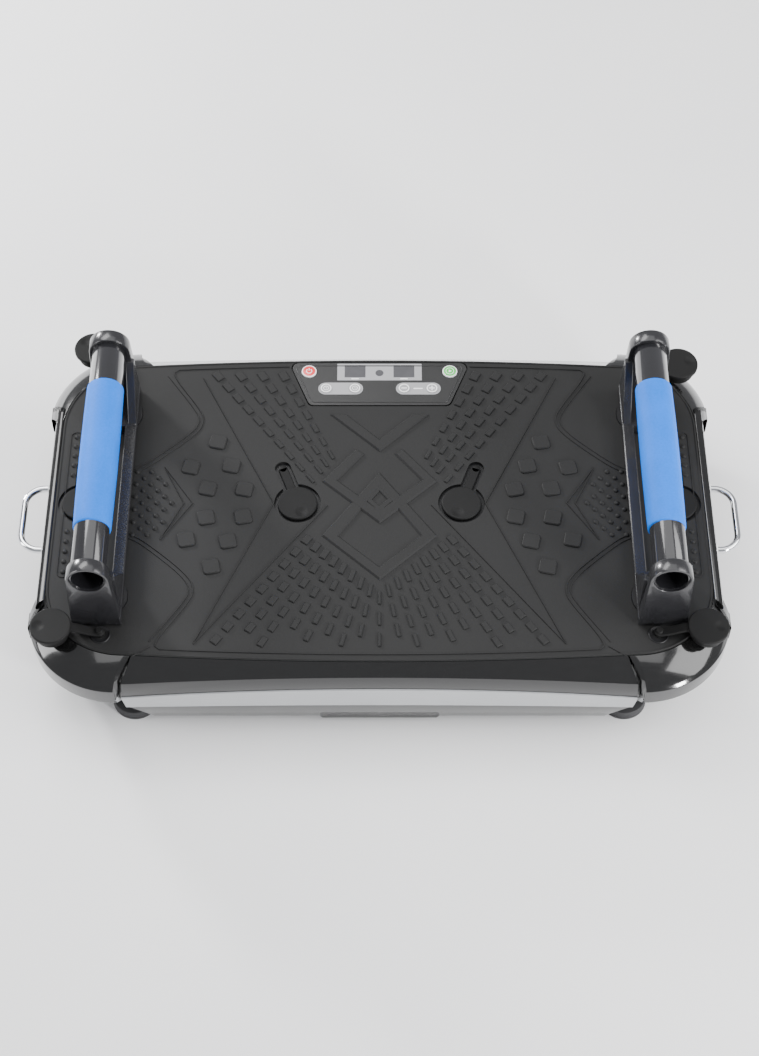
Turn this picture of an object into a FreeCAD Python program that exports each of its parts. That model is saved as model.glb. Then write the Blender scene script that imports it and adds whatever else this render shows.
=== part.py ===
"""Vibration plate with two lift-out push-up bars, rubber socket plugs and band loops.

Frame: millimetres, origin on the floor under the centre of the deck, +X to the
user's right, +Y to the back (where the control panel is), +Z up.

The deck assembly rocks about a long pivot shaft that lies along Y.  A motor on the
base pan turns an eccentric shaft through a belt, and a connecting rod shakes the deck.
"""
import FreeCAD
import Part
import os
from math import acos, atan2, cos, hypot, radians, sin

V = FreeCAD.Vector

# ---- driving dimensions: deck and shell ----
DECK_TOP = 122.0          # height of the mat's surface above the floor
DECK_HALF_X = 368.0       # mat outline, half width
DECK_HALF_Y = 199.0       # mat outline, half depth at the corners
DECK_BOW = 8.5            # how far the front and back edges bow out at the centre
DECK_CORNER_R = 90.0
MAT_T = 4.0
COVER_T = 6.0             # moulded plastic deck under the mat
PLATE_T = 4.0             # steel deck plate
PLATE_INSET = 16.0        # steel plate's edge, inside the mat outline
PLATE_LIP = 18.0          # depth of the steel plate's folded edge
SHELL_T = 3.0
SHELL_BOTTOM = 20.0       # height of the shell's lower edge
SHELL_TUCK = 34.0         # how far the corner caps lean in towards the bottom
CAP_PROUD_X = 20.0        # corner cap's rim outside the mat outline, sideways
CAP_PROUD_Y = 35.0        # and towards front or back
CAP_CORNER_R = 100.0
CAP_DROP = 20.0           # rim height below the deck
CAP_WALL = 25.0           # height of the cap's upright wall
RAIL_PROUD = 10.0         # side rail outside the mat outline
EDGE_GAP = 0.5            # gap between mat and shell
SEAM_GAP = 0.4            # gap between neighbouring shell pieces
SEAM_X = DECK_HALF_X - 100.0  # where a front or back seam starts at the mat's edge
SEAM_LEAN = 0.5           # sideways run of that seam per millimetre outwards
SIDE_SEAM_Y = DECK_HALF_Y - 71.0  # where a side seam starts at the mat's edge
SIDE_SEAM_LEAN = 0.9
STRIP_T = 1.5             # trim strip in front of the skirt
BROW_Z = (DECK_TOP - 22.0, DECK_TOP - 13.0)    # skirt's upper edge, at its ends and its middle
STRIP_TOP_Z = (DECK_TOP - 45.0, DECK_TOP - 33.0)
STRIP_LOW_Z = (DECK_TOP - 68.0, DECK_TOP - 65.0)
BROW_Y = (25.0, 22.0)     # how far those edges stand outside the mat's corner line
STRIP_TOP_Y = (27.0, 24.0)
STRIP_LOW_Y = (26.0, 25.0)
SKIRT_FOOT_Y = 17.0
SKIRT_BOTTOM = 16.0
TAB_HALF_X = 68.0         # tab under the middle of the front skirt
TAB_H = 4.0
SKIRT_END_X = DECK_HALF_X - 76.0   # where the end sections stand
SKIRT_END_Y = DECK_HALF_Y - 0.6    # mat edge there
LIP_DROP = 9.0            # depth of the skirt's lip
RAIL_KINK_Z = DECK_TOP - 44.0
RAIL_CHAMFER = 4.0
RAIL_TUCK = 10.0
RAIL_MARGIN = 30.0        # rail stock past its seams

# ---- driving dimensions: base ----
PAN_HALF_X = DECK_HALF_X - 38.0
PAN_HALF_Y = DECK_HALF_Y - 5.0
PAN_T = 2.0
PAN_WALL = 14.0
PAN_CORNER_R = 30.0
FOOT_H = 22.0
FOOT_R = 26.0
FOOT_X = DECK_HALF_X - 93.0
FOOT_Y = DECK_HALF_Y - 13.0
FOOT_BOLT_R = 4.0
FOOT_NECK_R = 10.0
FOOT_SKIRT = 0.6          # share of the foot's height taken by its wide cup
FOOT_TAPER = 1.0
FOOT_CUP_WALL = 3.0
BOLT_HEAD_R = 5.6
BOLT_HEAD_H = 5.0
BOLT_TIP = 6.0            # bolt's end above the pan
BUFFER_R = 18.0
BUFFER_X = 200.0
BUFFER_Y = DECK_HALF_Y - 61.0
ROCK_DEGREES = 1.0        # rocking angle each way
STOP_GAP = 1.0            # room left between a buffer and the deck at full rock

# ---- driving dimensions: pivot and drive ----
PIVOT_Z = 60.0
PIVOT_R = 8.0
RUN_FIT = 0.05            # radial clearance of a shaft in its bore
BRACKET_Y = DECK_HALF_Y - 49.0
BRACKET_T = 12.0
BRACKET_R = 16.0          # round head of a bracket
BRACKET_FOOT = 26.0       # half width at its foot
BRACKET_FLANGE = (34.0, 8.0, 4.0)  # flange half width, overhang and thickness
HANGER_Y = BRACKET_Y - 22.0
HANGER_T = 10.0
HANGER_R = 14.0
HANGER_FOOT = 24.0
SHAFT_END = 3.0           # shaft past the brackets
CRANK_X = 115.0
CRANK_Z = 64.0
ECCENTRICITY = 2.0
SHAFT_R = 6.0
DISC_R = 11.0             # eccentric disc
ROD_Y = -60.0             # middle plane of the connecting rod
ROD_T = 14.0
PIN_DROP = 18.0           # rod's pin below the steel plate
ROD_WALL = 4.5
ROD_EYE_WALL = 3.0
PIN_R = 4.0
PIN_END = 6.0             # pin past the rod, each side
CLEVIS_GAP = 1.5
CLEVIS_T = 4.0
CLEVIS_HALF = (10.0, 6.0)  # ear's half width at the plate and at the pin
PIN_ROOM = 4.8            # radial room round the deck's pin, for the opened pivot
BLOCK_OFFSET = 25.0       # bearing blocks, each side of the rod
BLOCK_T = 14.0
BLOCK_R = 14.0
BLOCK_FOOT = 22.0
PULLEY_Y = -6.0
PULLEY_W = 14.0
DRIVEN_R = 30.0
PULLEY_HOLE_R = 6.0
PULLEY_HOLE_RING = 18.0
PULLEY_HOLES = 5
MOTOR_PULLEY_R = 15.0
BELT_T = 2.4
BELT_GAP = 0.3
MOTOR_X = 225.0
MOTOR_R = 31.0
MOTOR_L = 96.0
MOTOR_SHAFT_R = 5.0
MOTOR_SHAFT_IN = 20.0     # shaft's length inside the motor
MOTOR_OFFSET = 11.0       # motor's face behind the pulley
MOTOR_PLATE = (36.0, 4.0, 50.0)  # bracket's half width, thickness and foot length
MOTOR_PLATE_HOLE_R = 12.0

# ---- driving dimensions: sockets, plugs and loops ----
SOCKET_X = DECK_HALF_X - 63.0
SOCKET_Y = DECK_HALF_Y - 73.0
SOCKET_BORE_R = 22.5
SOCKET_WALL = 3.5
SOCKET_DEPTH = 36.0
SOCKET_FLANGE_R = SOCKET_BORE_R + 5.5
SOCKET_RIM = 1.5          # flange height above the deck
PLUG_R = 22.5
PLUG_T = 5.0
PLUG_SKIRT_R = PLUG_R - 4.0
PLUG_SKIRT_WALL = 4.0
DENT_R = 12.0             # sphere that cuts the finger dent
DENT_DEPTH = 2.4
DENT_AT = 0.6             # dent's place, as a share of the disc's radius
PLUG_SKIRT_H = 12.0
PLUG_REACH = 52.0         # disc centre to the anchor at the tongue's end
PLUG_HOLE_GAP = 2.0       # radial room round the skirt, for peeling out
PLUG_SEAT_GAP = 0.4
TONGUE_W = 10.5
TONGUE_T = 3.0
GROOVE_GAP = 4.0          # width of the moat round a seated plug
ANCHOR_R = 4.0
INNER_PLUG_X = 93.0
SIDE_PLUG_X = DECK_HALF_X - 30.0
INNER_TONGUE_DEG = 70.0   # direction of the right inner plug's tongue, mirrored on the left
SIDE_TONGUE_DEG = 90.0
ANCHOR_X = DECK_HALF_X - 65.0
ANCHOR_Y = DECK_HALF_Y - 25.0
PARK_DEG = {"front_left": 0.0, "front_right": 0.0, "back_left": 46.0, "back_right": 16.0}
# parked plug's direction from its anchor, 0 is straight outwards and 90 to the front or back
PARK_LIFT = 2.5           # parked skirt above the deck
ROD_LOOP_R = 4.0
LOOP_HALF_Y = 42.5
LOOP_OUT = DECK_HALF_X + 41.0  # centre line of the loop's outer run
LOOP_DROP = 32.0
LOOP_CORNER_R = 22.0
LOOP_ROOT = 6.0           # rod's end inside the rail
COLLAR_R = 9.5
COLLAR_T = 5.0
SCALLOP_R = 150.0
SCALLOP_DEPTH = 4.0
SCALLOP_H = 24.0

# ---- driving dimensions: push-up bars ----
BAR_X = SOCKET_X + 3.0
BAR_END_Y = SOCKET_Y + 37.0  # outer face of an upright
BAR_Z = 88.0              # tube centre above the deck
TUBE_R = 19.0
BAR_RING_R = TUBE_R + 4.0
BAR_RING_T = 16.0
BAR_FOOT_HALF = 27.0
BAR_RAIL_W = 13.0
BAR_RAIL_H = 12.0
BAR_GAP = 0.3             # bar's underside above the socket flange
TUBE_WALL = 1.5
TUBE_BACK = 3.0           # tube's end inside the upright's face
GRIP_R = TUBE_R + 2.5
GRIP_HALF = BAR_END_Y - 67.0
PEG_CLEAR = 0.3
PEG_DEPTH = 30.0
PEG_WALL = 4.0
GUSSET_T = 10.0
GUSSET_DROP = 13.8        # gusset's top below the tube's axis
BAR_FOOT_INNER_Y = SOCKET_Y - 26.0

# ---- driving dimensions: control panel ----
PANEL_BACK_Y = DECK_HALF_Y + 4.0
PANEL_FRONT_Y = PANEL_BACK_Y - 63.0
PANEL_BACK_HALF = 107.0
PANEL_FRONT_HALF = 82.0
PANEL_CORNER_R = 8.0
PANEL_GAP = 1.2
PANEL_RISE = 0.6
BIG_BUTTON_R = 8.9
BIG_BUTTON_X = 83.5
BIG_BUTTON_Y = PANEL_BACK_Y - 13.0
SMALL_BUTTON_R = 7.0
SMALL_BUTTON_X = (-63.0, -29.0, 29.0, 62.0)
SMALL_BUTTON_Y = PANEL_FRONT_Y + 24.5
BUTTON_GAP = 0.3
BUTTON_PROUD = 1.6
BUTTON_TRAVEL = 0.8
BUTTON_FLANGE = 1.4       # how far the retaining flange reaches past the cap
BUTTON_FLANGE_T = 0.8
WINDOW_HALF_X = 50.0
WINDOW_Y = (PANEL_BACK_Y - 26.0, PANEL_BACK_Y - 1.0)
DIGITS_X = 29.0
DIGITS_SIZE = (24.8, 18.6)
DIGITS_Y = PANEL_BACK_Y - 12.3
LENS_R = 4.8
LENS_Y = PANEL_BACK_Y - 15.0
DISPLAY_SINK = 0.2        # displays below the panel's face
FRAME_T = 2.5
BOARD_T = 1.6
BOARD_LIFT = 1.0          # board above the steel plate
BOARD_INSET = 2.0
BAY_INSET = 3.0           # plan room round the board in the cover
BAY_BACK = 1.5
SWITCH_HALF = 3.0

# ---- driving dimensions: rear inlet ----
INLET_X = -42.0
INLET_SIZE = (28.0, 20.0)
SWITCH_X = -78.0
SWITCH_SIZE = (20.0, 14.0)
INLET_Z = FOOT_H + 20.0
SERVICE_GAP = 6.0         # room round the inlet and switch in the back skirt

SERVICE_OUT = 2.0         # service plate outside the pan
SERVICE_PLATE_T = 2.0
SERVICE_FOOT = 8.0        # service plate's foot inside the pan's edge
INLET_OUT = 14.0          # inlet's mouth outside the service plate
INLET_IN = 12.0
INLET_BACK = 4.0          # floor of the mouth inside the service plate
INLET_WALL = 3.0
INLET_PIN = (2.0, 4.0)
INLET_PITCH = 6.0
INLET_PIN_DROP = 6.0      # pins' ends inside the mouth
SWITCH_OUT = 10.0
SWITCH_IN = 8.0
SWITCH_WALL = 1.2
ROCKER_SIZE = (16.0, 9.0)
ROCKER_OUT = 6.5          # rocker's axis outside the service plate
ROCKER_IN = 4.0
ROCKER_PROUD = 5.0

# ---- driving dimensions: power board ----
BOARD_X = -205.0
BOARD_HALF = (55.0, 50.0)
BOARD_STANDS = (48.0, 42.0, 3.0, 6.0)   # standoffs' x, y, radius and height
COIL = (-35.0, 5.0, -30.0, 10.0, 34.0)  # transformer's x and y limits and its top above the pan
CAPACITOR = (30.0, 25.0, 10.0, 38.0)    # x, y, radius and top above the pan

# ---- derived heights ----
MAT_BOTTOM = DECK_TOP - MAT_T
COVER_BOTTOM = MAT_BOTTOM - COVER_T
PLATE_BOTTOM = COVER_BOTTOM - PLATE_T
PAN_TOP = FOOT_H + PAN_T
LIP_TOP = DECK_TOP - EDGE_GAP
RIM_Z = DECK_TOP - CAP_DROP
CAP_WALL_Z = RIM_Z - CAP_WALL
BAR_BOTTOM = DECK_TOP + SOCKET_RIM + BAR_GAP
TUBE_Z = DECK_TOP + BAR_Z
PIN_Z = PLATE_BOTTOM - PIN_DROP
BUFFER_TOP = PLATE_BOTTOM - (BUFFER_X + BUFFER_R) * sin(radians(ROCK_DEGREES)) - STOP_GAP
PANEL_TOP = DECK_TOP + PANEL_RISE
CORNERS = [("front_left", -1, -1), ("front_right", 1, -1), ("back_left", -1, 1), ("back_right", 1, 1)]
SIDES = [("left", -1), ("right", 1)]
REACH = 900.0             # longer than anything here, for cutting blocks


# ---- helpers ----
def box(x0, x1, y0, y1, z0, z1):
    return Part.makeBox(x1 - x0, y1 - y0, z1 - z0, V(x0, y0, z0))


def rod(radius, start, end):
    """Round bar between two points."""
    axis = V(*end) - V(*start)
    return Part.makeCylinder(radius, axis.Length, V(*start), axis)


def disc(radius, x, y, z0, z1):
    return rod(radius, (x, y, z0), (x, y, z1))


def pipe(outer, inner, start, end):
    return rod(outer, start, end).cut(rod(inner, start, end))


def prism(points, z0, z1):
    """Plan polygon carried up from z0 to z1."""
    loop = Part.makePolygon([V(x, y, z0) for x, y in points + points[:1]])
    return Part.Face(loop).extrude(V(0, 0, z1 - z0))


def slab_xz(points, y0, y1):
    """Polygon in the XZ plane carried along Y."""
    loop = Part.makePolygon([V(x, y0, z) for x, z in points + points[:1]])
    return Part.Face(loop).extrude(V(0, y1 - y0, 0))


def slab_yz(points, x0, x1):
    """Polygon in the YZ plane carried along X."""
    loop = Part.makePolygon([V(x0, y, z) for y, z in points + points[:1]])
    return Part.Face(loop).extrude(V(x1 - x0, 0, 0))


def fuse(*shapes):
    return shapes[0].multiFuse(list(shapes[1:])).removeSplitter()


def mirror_x(shape):
    return shape.mirror(V(0, 0, 0), V(1, 0, 0))


def mirror_y(shape):
    return shape.mirror(V(0, 0, 0), V(0, 1, 0))


def place(shape, sx, sy):
    """Right-hand back shape, mirrored into the quadrant with signs sx and sy."""
    if sx < 0:
        shape = mirror_x(shape)
    if sy < 0:
        shape = mirror_y(shape)
    return shape


def quarter_arc(centre_x, centre_y, radius, quarter, z):
    """Quarter circle, quarter 0 running from +X round to +Y."""
    points = []
    for step in range(3):
        angle = radians(90 * quarter + 45 * step)
        points.append(V(centre_x + radius * cos(angle), centre_y + radius * sin(angle), z))
    return Part.Arc(*points).toShape(), points[0], points[2]


def rounded_wire(half_x, half_y, radius, z, bow=0.0):
    """Rounded rectangle about the Z axis; bow pushes the middle of its long edges out."""
    edges = []
    arcs = []
    for quarter, (sx, sy) in enumerate([(1, 1), (-1, 1), (-1, -1), (1, -1)]):
        arcs.append(quarter_arc(sx * (half_x - radius), sy * (half_y - radius), radius, quarter, z))
    for quarter, (edge, _, end) in enumerate(arcs):
        following = arcs[(quarter + 1) % 4][1]
        edges.append(edge)
        if bow and quarter in (0, 2):
            side = 1 if quarter == 0 else -1
            edges.append(Part.Arc(end, V(0, side * (half_y + bow), z), following).toShape())
        else:
            edges.append(Part.LineSegment(end, following).toShape())
    return Part.Wire(edges)


def rounded_block(half_x, half_y, radius, z0, z1, bow=0.0):
    return Part.Face(rounded_wire(half_x, half_y, radius, z0, bow)).extrude(V(0, 0, z1 - z0))


def deck_block(inset, z0, z1):
    """The mat's outline moved in by inset and carried up from z0 to z1."""
    radius = DECK_CORNER_R - inset
    return rounded_block(DECK_HALF_X - inset, DECK_HALF_Y - inset, radius, z0, z1, DECK_BOW)


def link_hull(first, r1, second, r2):
    """Plan face in XZ round two circles and their outer tangents, at Y = 0."""
    dx = second[0] - first[0]
    dz = second[1] - first[1]
    heading = atan2(dz, dx)
    lean = acos((r1 - r2) / hypot(dx, dz))
    quad = []
    for centre, radius, side in ((first, r1, 1), (first, r1, -1), (second, r2, -1), (second, r2, 1)):
        angle = heading + side * lean
        quad.append((centre[0] + radius * cos(angle), centre[1] + radius * sin(angle)))
    return quad


def link_block(first, r1, second, r2, y0, y1):
    """Solid strap with round ends between two axes along Y."""
    ends = []
    for centre, radius in ((first, r1), (second, r2)):
        ends.append(rod(radius, (centre[0], y0, centre[1]), (centre[0], y1, centre[1])))
    return fuse(slab_xz(link_hull(first, r1, second, r2), y0, y1), *ends)


def tube_hull_z(x, y, dx, dy, length, radius, z0, z1):
    """Plan strap with round ends, starting at x, y and running along the unit vector dx, dy."""
    far = (x + dx * length, y + dy * length)
    side = (-dy * radius, dx * radius)
    quad = [(x + side[0], y + side[1]), (x - side[0], y - side[1]),
            (far[0] - side[0], far[1] - side[1]), (far[0] + side[0], far[1] + side[1])]
    return fuse(prism(quad, z0, z1), disc(radius, x, y, z0, z1), disc(radius, far[0], far[1], z0, z1))


parts = {}


# ---- shell: corner caps, side rails, skirts and trim strips ----
def corner_region(gap):
    """Right-hand back corner of the plan, out to the seams, grown by gap."""
    start = SEAM_X - gap
    side = SIDE_SEAM_Y - gap
    span = CAP_PROUD_Y + 60
    return prism([(start - SEAM_LEAN * 120, DECK_HALF_Y - 120), (start, DECK_HALF_Y),
                  (start + SEAM_LEAN * span, DECK_HALF_Y + span), (REACH, DECK_HALF_Y + span),
                  (REACH, side + SIDE_SEAM_LEAN * CAP_PROUD_X), (DECK_HALF_X + CAP_PROUD_X,
                   side + SIDE_SEAM_LEAN * CAP_PROUD_X), (DECK_HALF_X, side), (DECK_HALF_X - 60, side - 20)],
                 0, DECK_TOP + 20)


def cap_levels(inset):
    """Stacked outlines of the shell at the corners, moved in by inset."""
    rim_x = DECK_HALF_X + CAP_PROUD_X - inset
    rim_y = DECK_HALF_Y + CAP_PROUD_Y - inset
    radius = CAP_CORNER_R - inset
    foot_x = rim_x - SHELL_TUCK
    foot_y = rim_y - SHELL_TUCK
    lip = EDGE_GAP - inset
    return [rounded_wire(DECK_HALF_X + lip, DECK_HALF_Y + lip, DECK_CORNER_R + lip, LIP_TOP - inset),
            rounded_wire(rim_x, rim_y, radius, RIM_Z - inset * 0.5),
            rounded_wire(rim_x, rim_y, radius, CAP_WALL_Z),
            rounded_wire(foot_x, foot_y, radius - SHELL_TUCK, SHELL_BOTTOM)]


shell_solid = Part.makeLoft(cap_levels(0), True, True)
shell_hollow = Part.makeLoft(cap_levels(SHELL_T), True, True)
deck_room = deck_block(-EDGE_GAP, 0, DECK_TOP + 5)
cap_shell = shell_solid.cut(shell_hollow).cut(deck_room)
back_right_cap = cap_shell.common(corner_region(0))
for name, sx, sy in CORNERS:
    parts["corner_cap_" + name] = place(back_right_cap, sx, sy)
corner_zones = [place(corner_region(SEAM_GAP), sx, sy) for _, sx, sy in CORNERS]


def skirt_stations(end, middle):
    """Loft along X through an end, a middle and an end profile, each a list of (outwards, z)."""
    wires = []
    for x, profile in ((-SKIRT_END_X, end), (0.0, middle), (SKIRT_END_X, end)):
        corners = [V(x, y, z) for y, z in profile]
        wires.append(Part.makePolygon(corners + corners[:1]))
    return Part.makeLoft(wires, True, False)


def skirt_profile(lip, brow, strip_top, strip_bottom, foot):
    """Closed section of a skirt from its lip by the mat to its foot, SHELL_T thick."""
    outer = [lip, brow, strip_top, strip_bottom, foot]
    inner = [(y - SHELL_T, z - (SHELL_T if step < 2 else 0)) for step, (y, z) in enumerate(outer)]
    inner[0] = (lip[0], lip[1] - LIP_DROP)
    return outer + inner[::-1]


def skirt_section(lip_y, station):
    """Outer corners (Y, z) of the skirt, station 0 at its ends and 1 at its middle."""
    line = DECK_HALF_Y
    return [(lip_y, LIP_TOP), (line + BROW_Y[station], BROW_Z[station]),
            (line + STRIP_TOP_Y[station], STRIP_TOP_Z[station]),
            (line + STRIP_LOW_Y[station], STRIP_LOW_Z[station]), (line + SKIRT_FOOT_Y, SKIRT_BOTTOM)]


END_SECTION = skirt_section(SKIRT_END_Y, 0)
MID_SECTION = skirt_section(DECK_HALF_Y + DECK_BOW + EDGE_GAP, 1)
skirt = skirt_stations(skirt_profile(*END_SECTION), skirt_profile(*MID_SECTION))


def strip_profile(section):
    """Trim strip lying on the skirt between the second and third edges below the lip."""
    top = section[2]
    bottom = section[3]
    return [top, (top[0] + STRIP_T, top[1] - STRIP_T / 2), (bottom[0] + STRIP_T, bottom[1] + STRIP_T / 2), bottom]


strip = skirt_stations(strip_profile(END_SECTION), strip_profile(MID_SECTION))
for shape_name, shape in (("skirt", skirt), ("trim_strip", strip)):
    for name, side in (("front", -1), ("back", 1)):
        turned = (shape if side > 0 else mirror_y(shape)).cut(deck_room)
        for zone in corner_zones:
            turned = turned.cut(zone)
        parts[name + "_" + shape_name] = turned

tab_y = DECK_HALF_Y + SKIRT_FOOT_Y
tab = box(-TAB_HALF_X, TAB_HALF_X, -tab_y, SHELL_T - tab_y, SKIRT_BOTTOM - TAB_H, SKIRT_BOTTOM + TAB_H)
parts["front_skirt"] = fuse(parts["front_skirt"], tab)

service_low = SWITCH_X - SWITCH_SIZE[0] / 2 - SERVICE_GAP
service_high = INLET_X + INLET_SIZE[0] / 2 + SERVICE_GAP
service_top = INLET_Z + INLET_SIZE[1] / 2 + SERVICE_GAP
service_hole = box(service_low, service_high, DECK_HALF_Y, REACH, 0, service_top)
parts["back_skirt"] = parts["back_skirt"].cut(service_hole)
parts["back_trim_strip"] = parts["back_trim_strip"].cut(service_hole)

rail_in = DECK_HALF_X + EDGE_GAP
rail_out = DECK_HALF_X + RAIL_PROUD
rail_foot = rail_out - RAIL_TUCK
rail = slab_xz([(rail_in, LIP_TOP), (rail_out - RAIL_CHAMFER, LIP_TOP), (rail_out, LIP_TOP - RAIL_CHAMFER),
                (rail_out, RAIL_KINK_Z), (rail_foot, SHELL_BOTTOM), (rail_foot - SHELL_T, SHELL_BOTTOM),
                (rail_in, RAIL_KINK_Z)], -SIDE_SEAM_Y - RAIL_MARGIN, SIDE_SEAM_Y + RAIL_MARGIN)
loop_z = DECK_TOP - LOOP_DROP
scallop = disc(SCALLOP_R, rail_out + SCALLOP_R - SCALLOP_DEPTH, 0, loop_z - SCALLOP_H / 2,
               loop_z + SCALLOP_H / 2)
rail = rail.cut(scallop)
for zone in corner_zones:
    rail = rail.cut(zone)
for sy in (-1, 1):
    rail = rail.cut(rod(ROD_LOOP_R, (0, sy * LOOP_HALF_Y, loop_z), (REACH, sy * LOOP_HALF_Y, loop_z)))

# ---- band loops and their collars ----
loop_in = rail_in - LOOP_ROOT
bend_x = LOOP_OUT - LOOP_CORNER_R
bend_y = LOOP_HALF_Y - LOOP_CORNER_R
slack = LOOP_CORNER_R * (1 - cos(radians(45)))


def loop_point(x, y):
    return V(x, y, loop_z)


def loop_run(start, end):
    return Part.LineSegment(loop_point(*start), loop_point(*end)).toShape()


def loop_bend(start, middle, end):
    return Part.Arc(loop_point(*start), loop_point(*middle), loop_point(*end)).toShape()


loop_path = Part.Wire([
    loop_run((loop_in, -LOOP_HALF_Y), (bend_x, -LOOP_HALF_Y)),
    loop_bend((bend_x, -LOOP_HALF_Y), (LOOP_OUT - slack, slack - LOOP_HALF_Y), (LOOP_OUT, -bend_y)),
    loop_run((LOOP_OUT, -bend_y), (LOOP_OUT, bend_y)),
    loop_bend((LOOP_OUT, bend_y), (LOOP_OUT - slack, LOOP_HALF_Y - slack), (bend_x, LOOP_HALF_Y)),
    loop_run((bend_x, LOOP_HALF_Y), (loop_in, LOOP_HALF_Y))])
section = Part.Wire([Part.makeCircle(ROD_LOOP_R, V(loop_in, -LOOP_HALF_Y, loop_z), V(1, 0, 0))])
right_loop = loop_path.makePipeShell([section], True, False)
collar_x = rail_out
right_collars = [pipe(COLLAR_R, ROD_LOOP_R, (collar_x, sy * LOOP_HALF_Y, loop_z),
                      (collar_x + COLLAR_T, sy * LOOP_HALF_Y, loop_z)) for sy in (-1, 1)]
for name, sx in SIDES:
    parts["side_rail_" + name] = place(rail, sx, 1)
    parts["band_loop_" + name] = place(right_loop, sx, 1)
parts["loop_collars"] = Part.makeCompound([place(collar, sx, 1) for _, sx in SIDES for collar in right_collars])


# ---- deck: mat, moulded cover and steel plate ----
def panel_outline(grow):
    """Trapezoid of the control panel, grown outwards by grow."""
    front = PANEL_FRONT_Y - grow
    back = PANEL_BACK_Y + grow
    return [(-PANEL_FRONT_HALF - grow, front), (PANEL_FRONT_HALF + grow, front),
            (PANEL_BACK_HALF + grow, back), (-PANEL_BACK_HALF - grow, back)]


def panel_block(grow, z0, z1):
    """Control panel's plan carried up, with its four upright edges rounded."""
    block = prism(panel_outline(grow), z0, z1)
    upright = [edge for edge in block.Edges if abs(edge.Vertexes[0].Z - edge.Vertexes[1].Z) > (z1 - z0) / 2]
    return block.makeFillet(PANEL_CORNER_R, upright)


def plug_places():
    """Seated plugs as (name, x, y, tongue direction in degrees)."""
    places = []
    for name, sx in SIDES:
        inner_heading = INNER_TONGUE_DEG if sx > 0 else 180 - INNER_TONGUE_DEG
        places.append(("inner_plug_" + name, sx * INNER_PLUG_X, 0.0, inner_heading))
        places.append(("side_plug_" + name, sx * SIDE_PLUG_X, 0.0, SIDE_TONGUE_DEG))
    return places


mat = deck_block(0, MAT_BOTTOM, DECK_TOP).cut(panel_block(PANEL_GAP, MAT_BOTTOM - 1, DECK_TOP + 1))
cover = deck_block(-EDGE_GAP, COVER_BOTTOM, MAT_BOTTOM)
plate_half_x = DECK_HALF_X - PLATE_INSET
plate_half_y = DECK_HALF_Y - PLATE_INSET
plate_r = DECK_CORNER_R - PLATE_INSET
plate = rounded_block(plate_half_x, plate_half_y, plate_r, COVER_BOTTOM - PLATE_LIP, COVER_BOTTOM)
plate = plate.cut(rounded_block(plate_half_x - PLATE_T, plate_half_y - PLATE_T, plate_r - PLATE_T,
                                COVER_BOTTOM - PLATE_LIP - 1, PLATE_BOTTOM))

socket_r = SOCKET_BORE_R + SOCKET_WALL
hole_r = PLUG_SKIRT_R + PLUG_HOLE_GAP
moat_r = PLUG_R + GROOVE_GAP
holes = []
moats = []
for _, sx, sy in CORNERS:
    x = sx * SOCKET_X
    y = sy * SOCKET_Y
    holes.append(disc(socket_r, x, y, 0, DECK_TOP + 5))
    moats.append(disc(SOCKET_FLANGE_R + EDGE_GAP, x, y, MAT_BOTTOM, DECK_TOP + 5))
    holes.append(disc(ANCHOR_R, sx * ANCHOR_X, sy * ANCHOR_Y, COVER_BOTTOM, DECK_TOP + 5))
for _, x, y, heading in plug_places():
    along = (cos(radians(heading)), sin(radians(heading)))
    holes.append(disc(hole_r, x, y, 0, DECK_TOP + 5))
    groove = tube_hull_z(x, y, along[0], along[1], PLUG_REACH, TONGUE_W / 2 + GROOVE_GAP, MAT_BOTTOM, DECK_TOP + 5)
    moats.append(fuse(disc(moat_r, x, y, MAT_BOTTOM, DECK_TOP + 5), groove))
big_reach = BIG_BUTTON_X + BIG_BUTTON_R + BAY_INSET
bay_back = PANEL_BACK_Y - BAY_BACK
board_bay = box(-PANEL_FRONT_HALF, PANEL_FRONT_HALF, PANEL_FRONT_Y + BAY_INSET, bay_back, COVER_BOTTOM, DECK_TOP)
big_bay = box(-big_reach, big_reach, BIG_BUTTON_Y - BIG_BUTTON_R - BAY_INSET, bay_back, COVER_BOTTOM, DECK_TOP)
for cutter in holes + moats:
    mat = mat.cut(cutter)
for cutter in holes + [board_bay, big_bay]:
    cover = cover.cut(cutter)
for cutter in holes:
    plate = plate.cut(cutter)
parts["deck_mat"] = mat
parts["deck_cover"] = cover
parts["deck_plate"] = plate

socket_bottom = DECK_TOP - SOCKET_DEPTH
sockets = []
for _, sx, sy in CORNERS:
    x = sx * SOCKET_X
    y = sy * SOCKET_Y
    cup = fuse(disc(socket_r, x, y, socket_bottom - SOCKET_WALL, DECK_TOP),
               disc(SOCKET_FLANGE_R, x, y, MAT_BOTTOM, DECK_TOP + SOCKET_RIM))
    sockets.append(cup.cut(disc(SOCKET_BORE_R, x, y, socket_bottom, DECK_TOP + 5)))
parts["bar_sockets"] = Part.makeCompound(sockets)


# ---- rubber socket plugs ----
def plug():
    """Plug with its disc at the origin and its tongue along +X, skirt hanging below z = 0."""
    body = disc(PLUG_R, 0, 0, 0, PLUG_T)
    dent = Part.makeSphere(DENT_R, V(-PLUG_R * DENT_AT, 0, PLUG_T + DENT_R - DENT_DEPTH))
    skirt_wall = pipe(PLUG_SKIRT_R, PLUG_SKIRT_R - PLUG_SKIRT_WALL, (0, 0, -PLUG_SKIRT_H), (0, 0, 0))
    strap = tube_hull_z(0, 0, 1, 0, PLUG_REACH, TONGUE_W / 2, 0, TONGUE_T)
    return fuse(body.cut(dent), skirt_wall, strap)


def set_plug(shape, x, y, z, heading):
    """Turn a plug so that its tongue points along heading, with its disc's centre at x, y, z."""
    turned = shape.copy()
    turned.rotate(V(0, 0, 0), V(0, 0, 1), heading)
    turned.translate(V(x, y, z))
    return turned


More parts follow.
